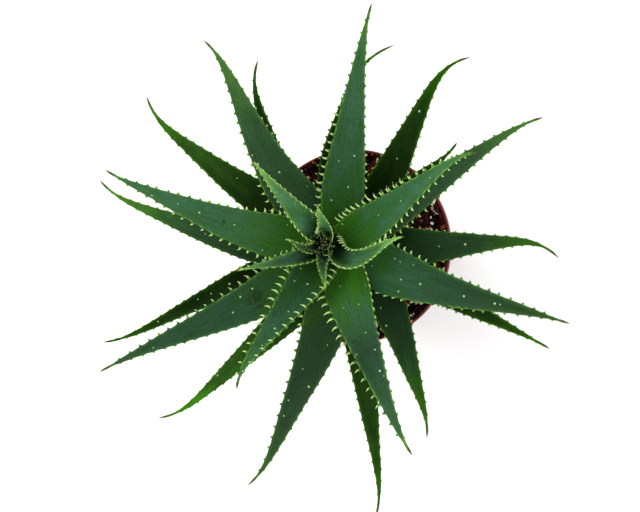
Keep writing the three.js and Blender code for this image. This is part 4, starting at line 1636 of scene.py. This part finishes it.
# the three spans of a shape are its length, width and height
BITS = [
    dict(name="bark_chips", count=2200, finish=damp_bark, start_ball=ROUGH_BALL, sizes=(0.6, 2.8),
         shapes=((0.9, 2.3), (0.45, 1.0), (0.25, 0.6)), push=1.2, lift=0.5, ring=OPEN_GROUND, seed=11),
    dict(name="wall_chips", count=700, finish=damp_bark, start_ball=ROUGH_BALL, sizes=(0.8, 2.3),
         shapes=((0.9, 2.0), (0.5, 1.0), (0.3, 0.7)), push=1.1, lift=0.8, ring=(66, 72.8), seed=14),
    dict(name="rim_crumbs", count=60, finish=damp_bark, start_ball=ROUGH_BALL, sizes=(0.5, 1.1),
         shapes=((0.9, 2.0), (0.5, 1.0), (0.4, 0.8)), push=1.1, lift=0.6, ring=(72.6, 73.9), seed=15),
    dict(name="perlite_grains", count=150, finish=perlite, start_ball=FINE_BALL, sizes=(0.6, 1.7),
         shapes=((1.0, 2.0), (0.6, 1.0), (0.5, 0.9)), push=1.5, lift=1.3, ring=(14.5, 62), seed=22),
    dict(name="wall_grains", count=110, finish=perlite, start_ball=FINE_BALL, sizes=(0.7, 1.5),
         shapes=((1.0, 2.0), (0.6, 1.0), (0.5, 0.9)), push=1.3, lift=2.2, ring=(62, 71.5), seed=23),
]


def scatter(name, count, finish, start_ball, sizes, shapes, push, lift, ring, seed):
    draw = random.Random(seed)
    mesh = Gathered()
    for _ in range(count):
        size = draw.uniform(*sizes)
        shape = [draw.uniform(*span) for span in shapes]
        centre = spot_on_soil(draw, ring) + Vector((0, 0, lift * size * shape[2]))
        add_bit(mesh, draw, centre, size, shape, start_ball, push)
    made = make_piece(name, mesh, [finish], {"chip_tone": mesh.share}, smooth=False)
    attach(made, "root")
    return made


for values in BITS:
    bits = scatter(**values)
    print(bits.name, values["count"], "faces:", len(bits.data.polygons))

# %% [markdown]
# Bark fibres lie over the chips, thin, bent and a little arched. Hair curves would be lost when the model
# leaves Blender, so each fibre is a thin six-sided tube that follows a bent line.

# %% Fibres
FIBRE_COUNT = 90
FIBRE_SEED = 13
FIBRE_GROUND = (18, 60)
FIBRE_LENGTHS = (5, 15)
FIBRE_BENDS = (-0.16, 0.16)
FIBRE_TONES = (0.5, 1.0)
FIBRE_STEPS = 8
FIBRE_SIDES = 6
FIBRE_LIFT = 1.3
FIBRE_ARCH = 0.8
FIBRE_THICKNESS = 0.28
FIBRE_TAPER = 0.6


def fibre_rings(mesh, start, heading, length, bend, tone):
    rings = []
    for i in range(FIBRE_STEPS + 1):
        heading += bend
        start = start + Vector((math.cos(heading), math.sin(heading), 0)) * (length / FIBRE_STEPS)
        share = i / FIBRE_STEPS
        level = soil_height(start.x, start.y, SOIL_LEVEL) + FIBRE_LIFT
        level += FIBRE_ARCH * math.sin(share * math.pi)
        side = Vector((-math.sin(heading), math.cos(heading), 0))
        thick = FIBRE_THICKNESS * (1 - FIBRE_TAPER * share ** 2)
        ring = []
        for turn in range(FIBRE_SIDES):
            angle = 2 * math.pi * turn / FIBRE_SIDES
            offset = side * math.cos(angle) + UP * math.sin(angle)
            ring.append(mesh.add(Vector((start.x, start.y, level)) + offset * thick, (tone, 0, 0)))
        rings.append(ring)
    return rings


draw = random.Random(FIBRE_SEED)
fibre_mesh = Gathered()
for _ in range(FIBRE_COUNT):
    start = spot_on_soil(draw, FIBRE_GROUND)
    heading = draw.uniform(0, 2 * math.pi)
    length = draw.uniform(*FIBRE_LENGTHS)
    bend = draw.uniform(*FIBRE_BENDS)
    tone = draw.uniform(*FIBRE_TONES)
    rings = fibre_rings(fibre_mesh, start, heading, length, bend, tone)
    fibre_mesh.rings(rings)
    for ring in (rings[0], rings[-1]):
        middle = sum((Vector(fibre_mesh.points[i]) for i in ring), Vector()) / len(ring)
        fibre_mesh.fan(ring, fibre_mesh.add(middle, (tone, 0, 0)))
fibres = make_piece("bark_fibres", fibre_mesh, [damp_bark], {"chip_tone": fibre_mesh.share})
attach(fibres, "root")
print("fibre faces:", len(fibres.data.polygons))
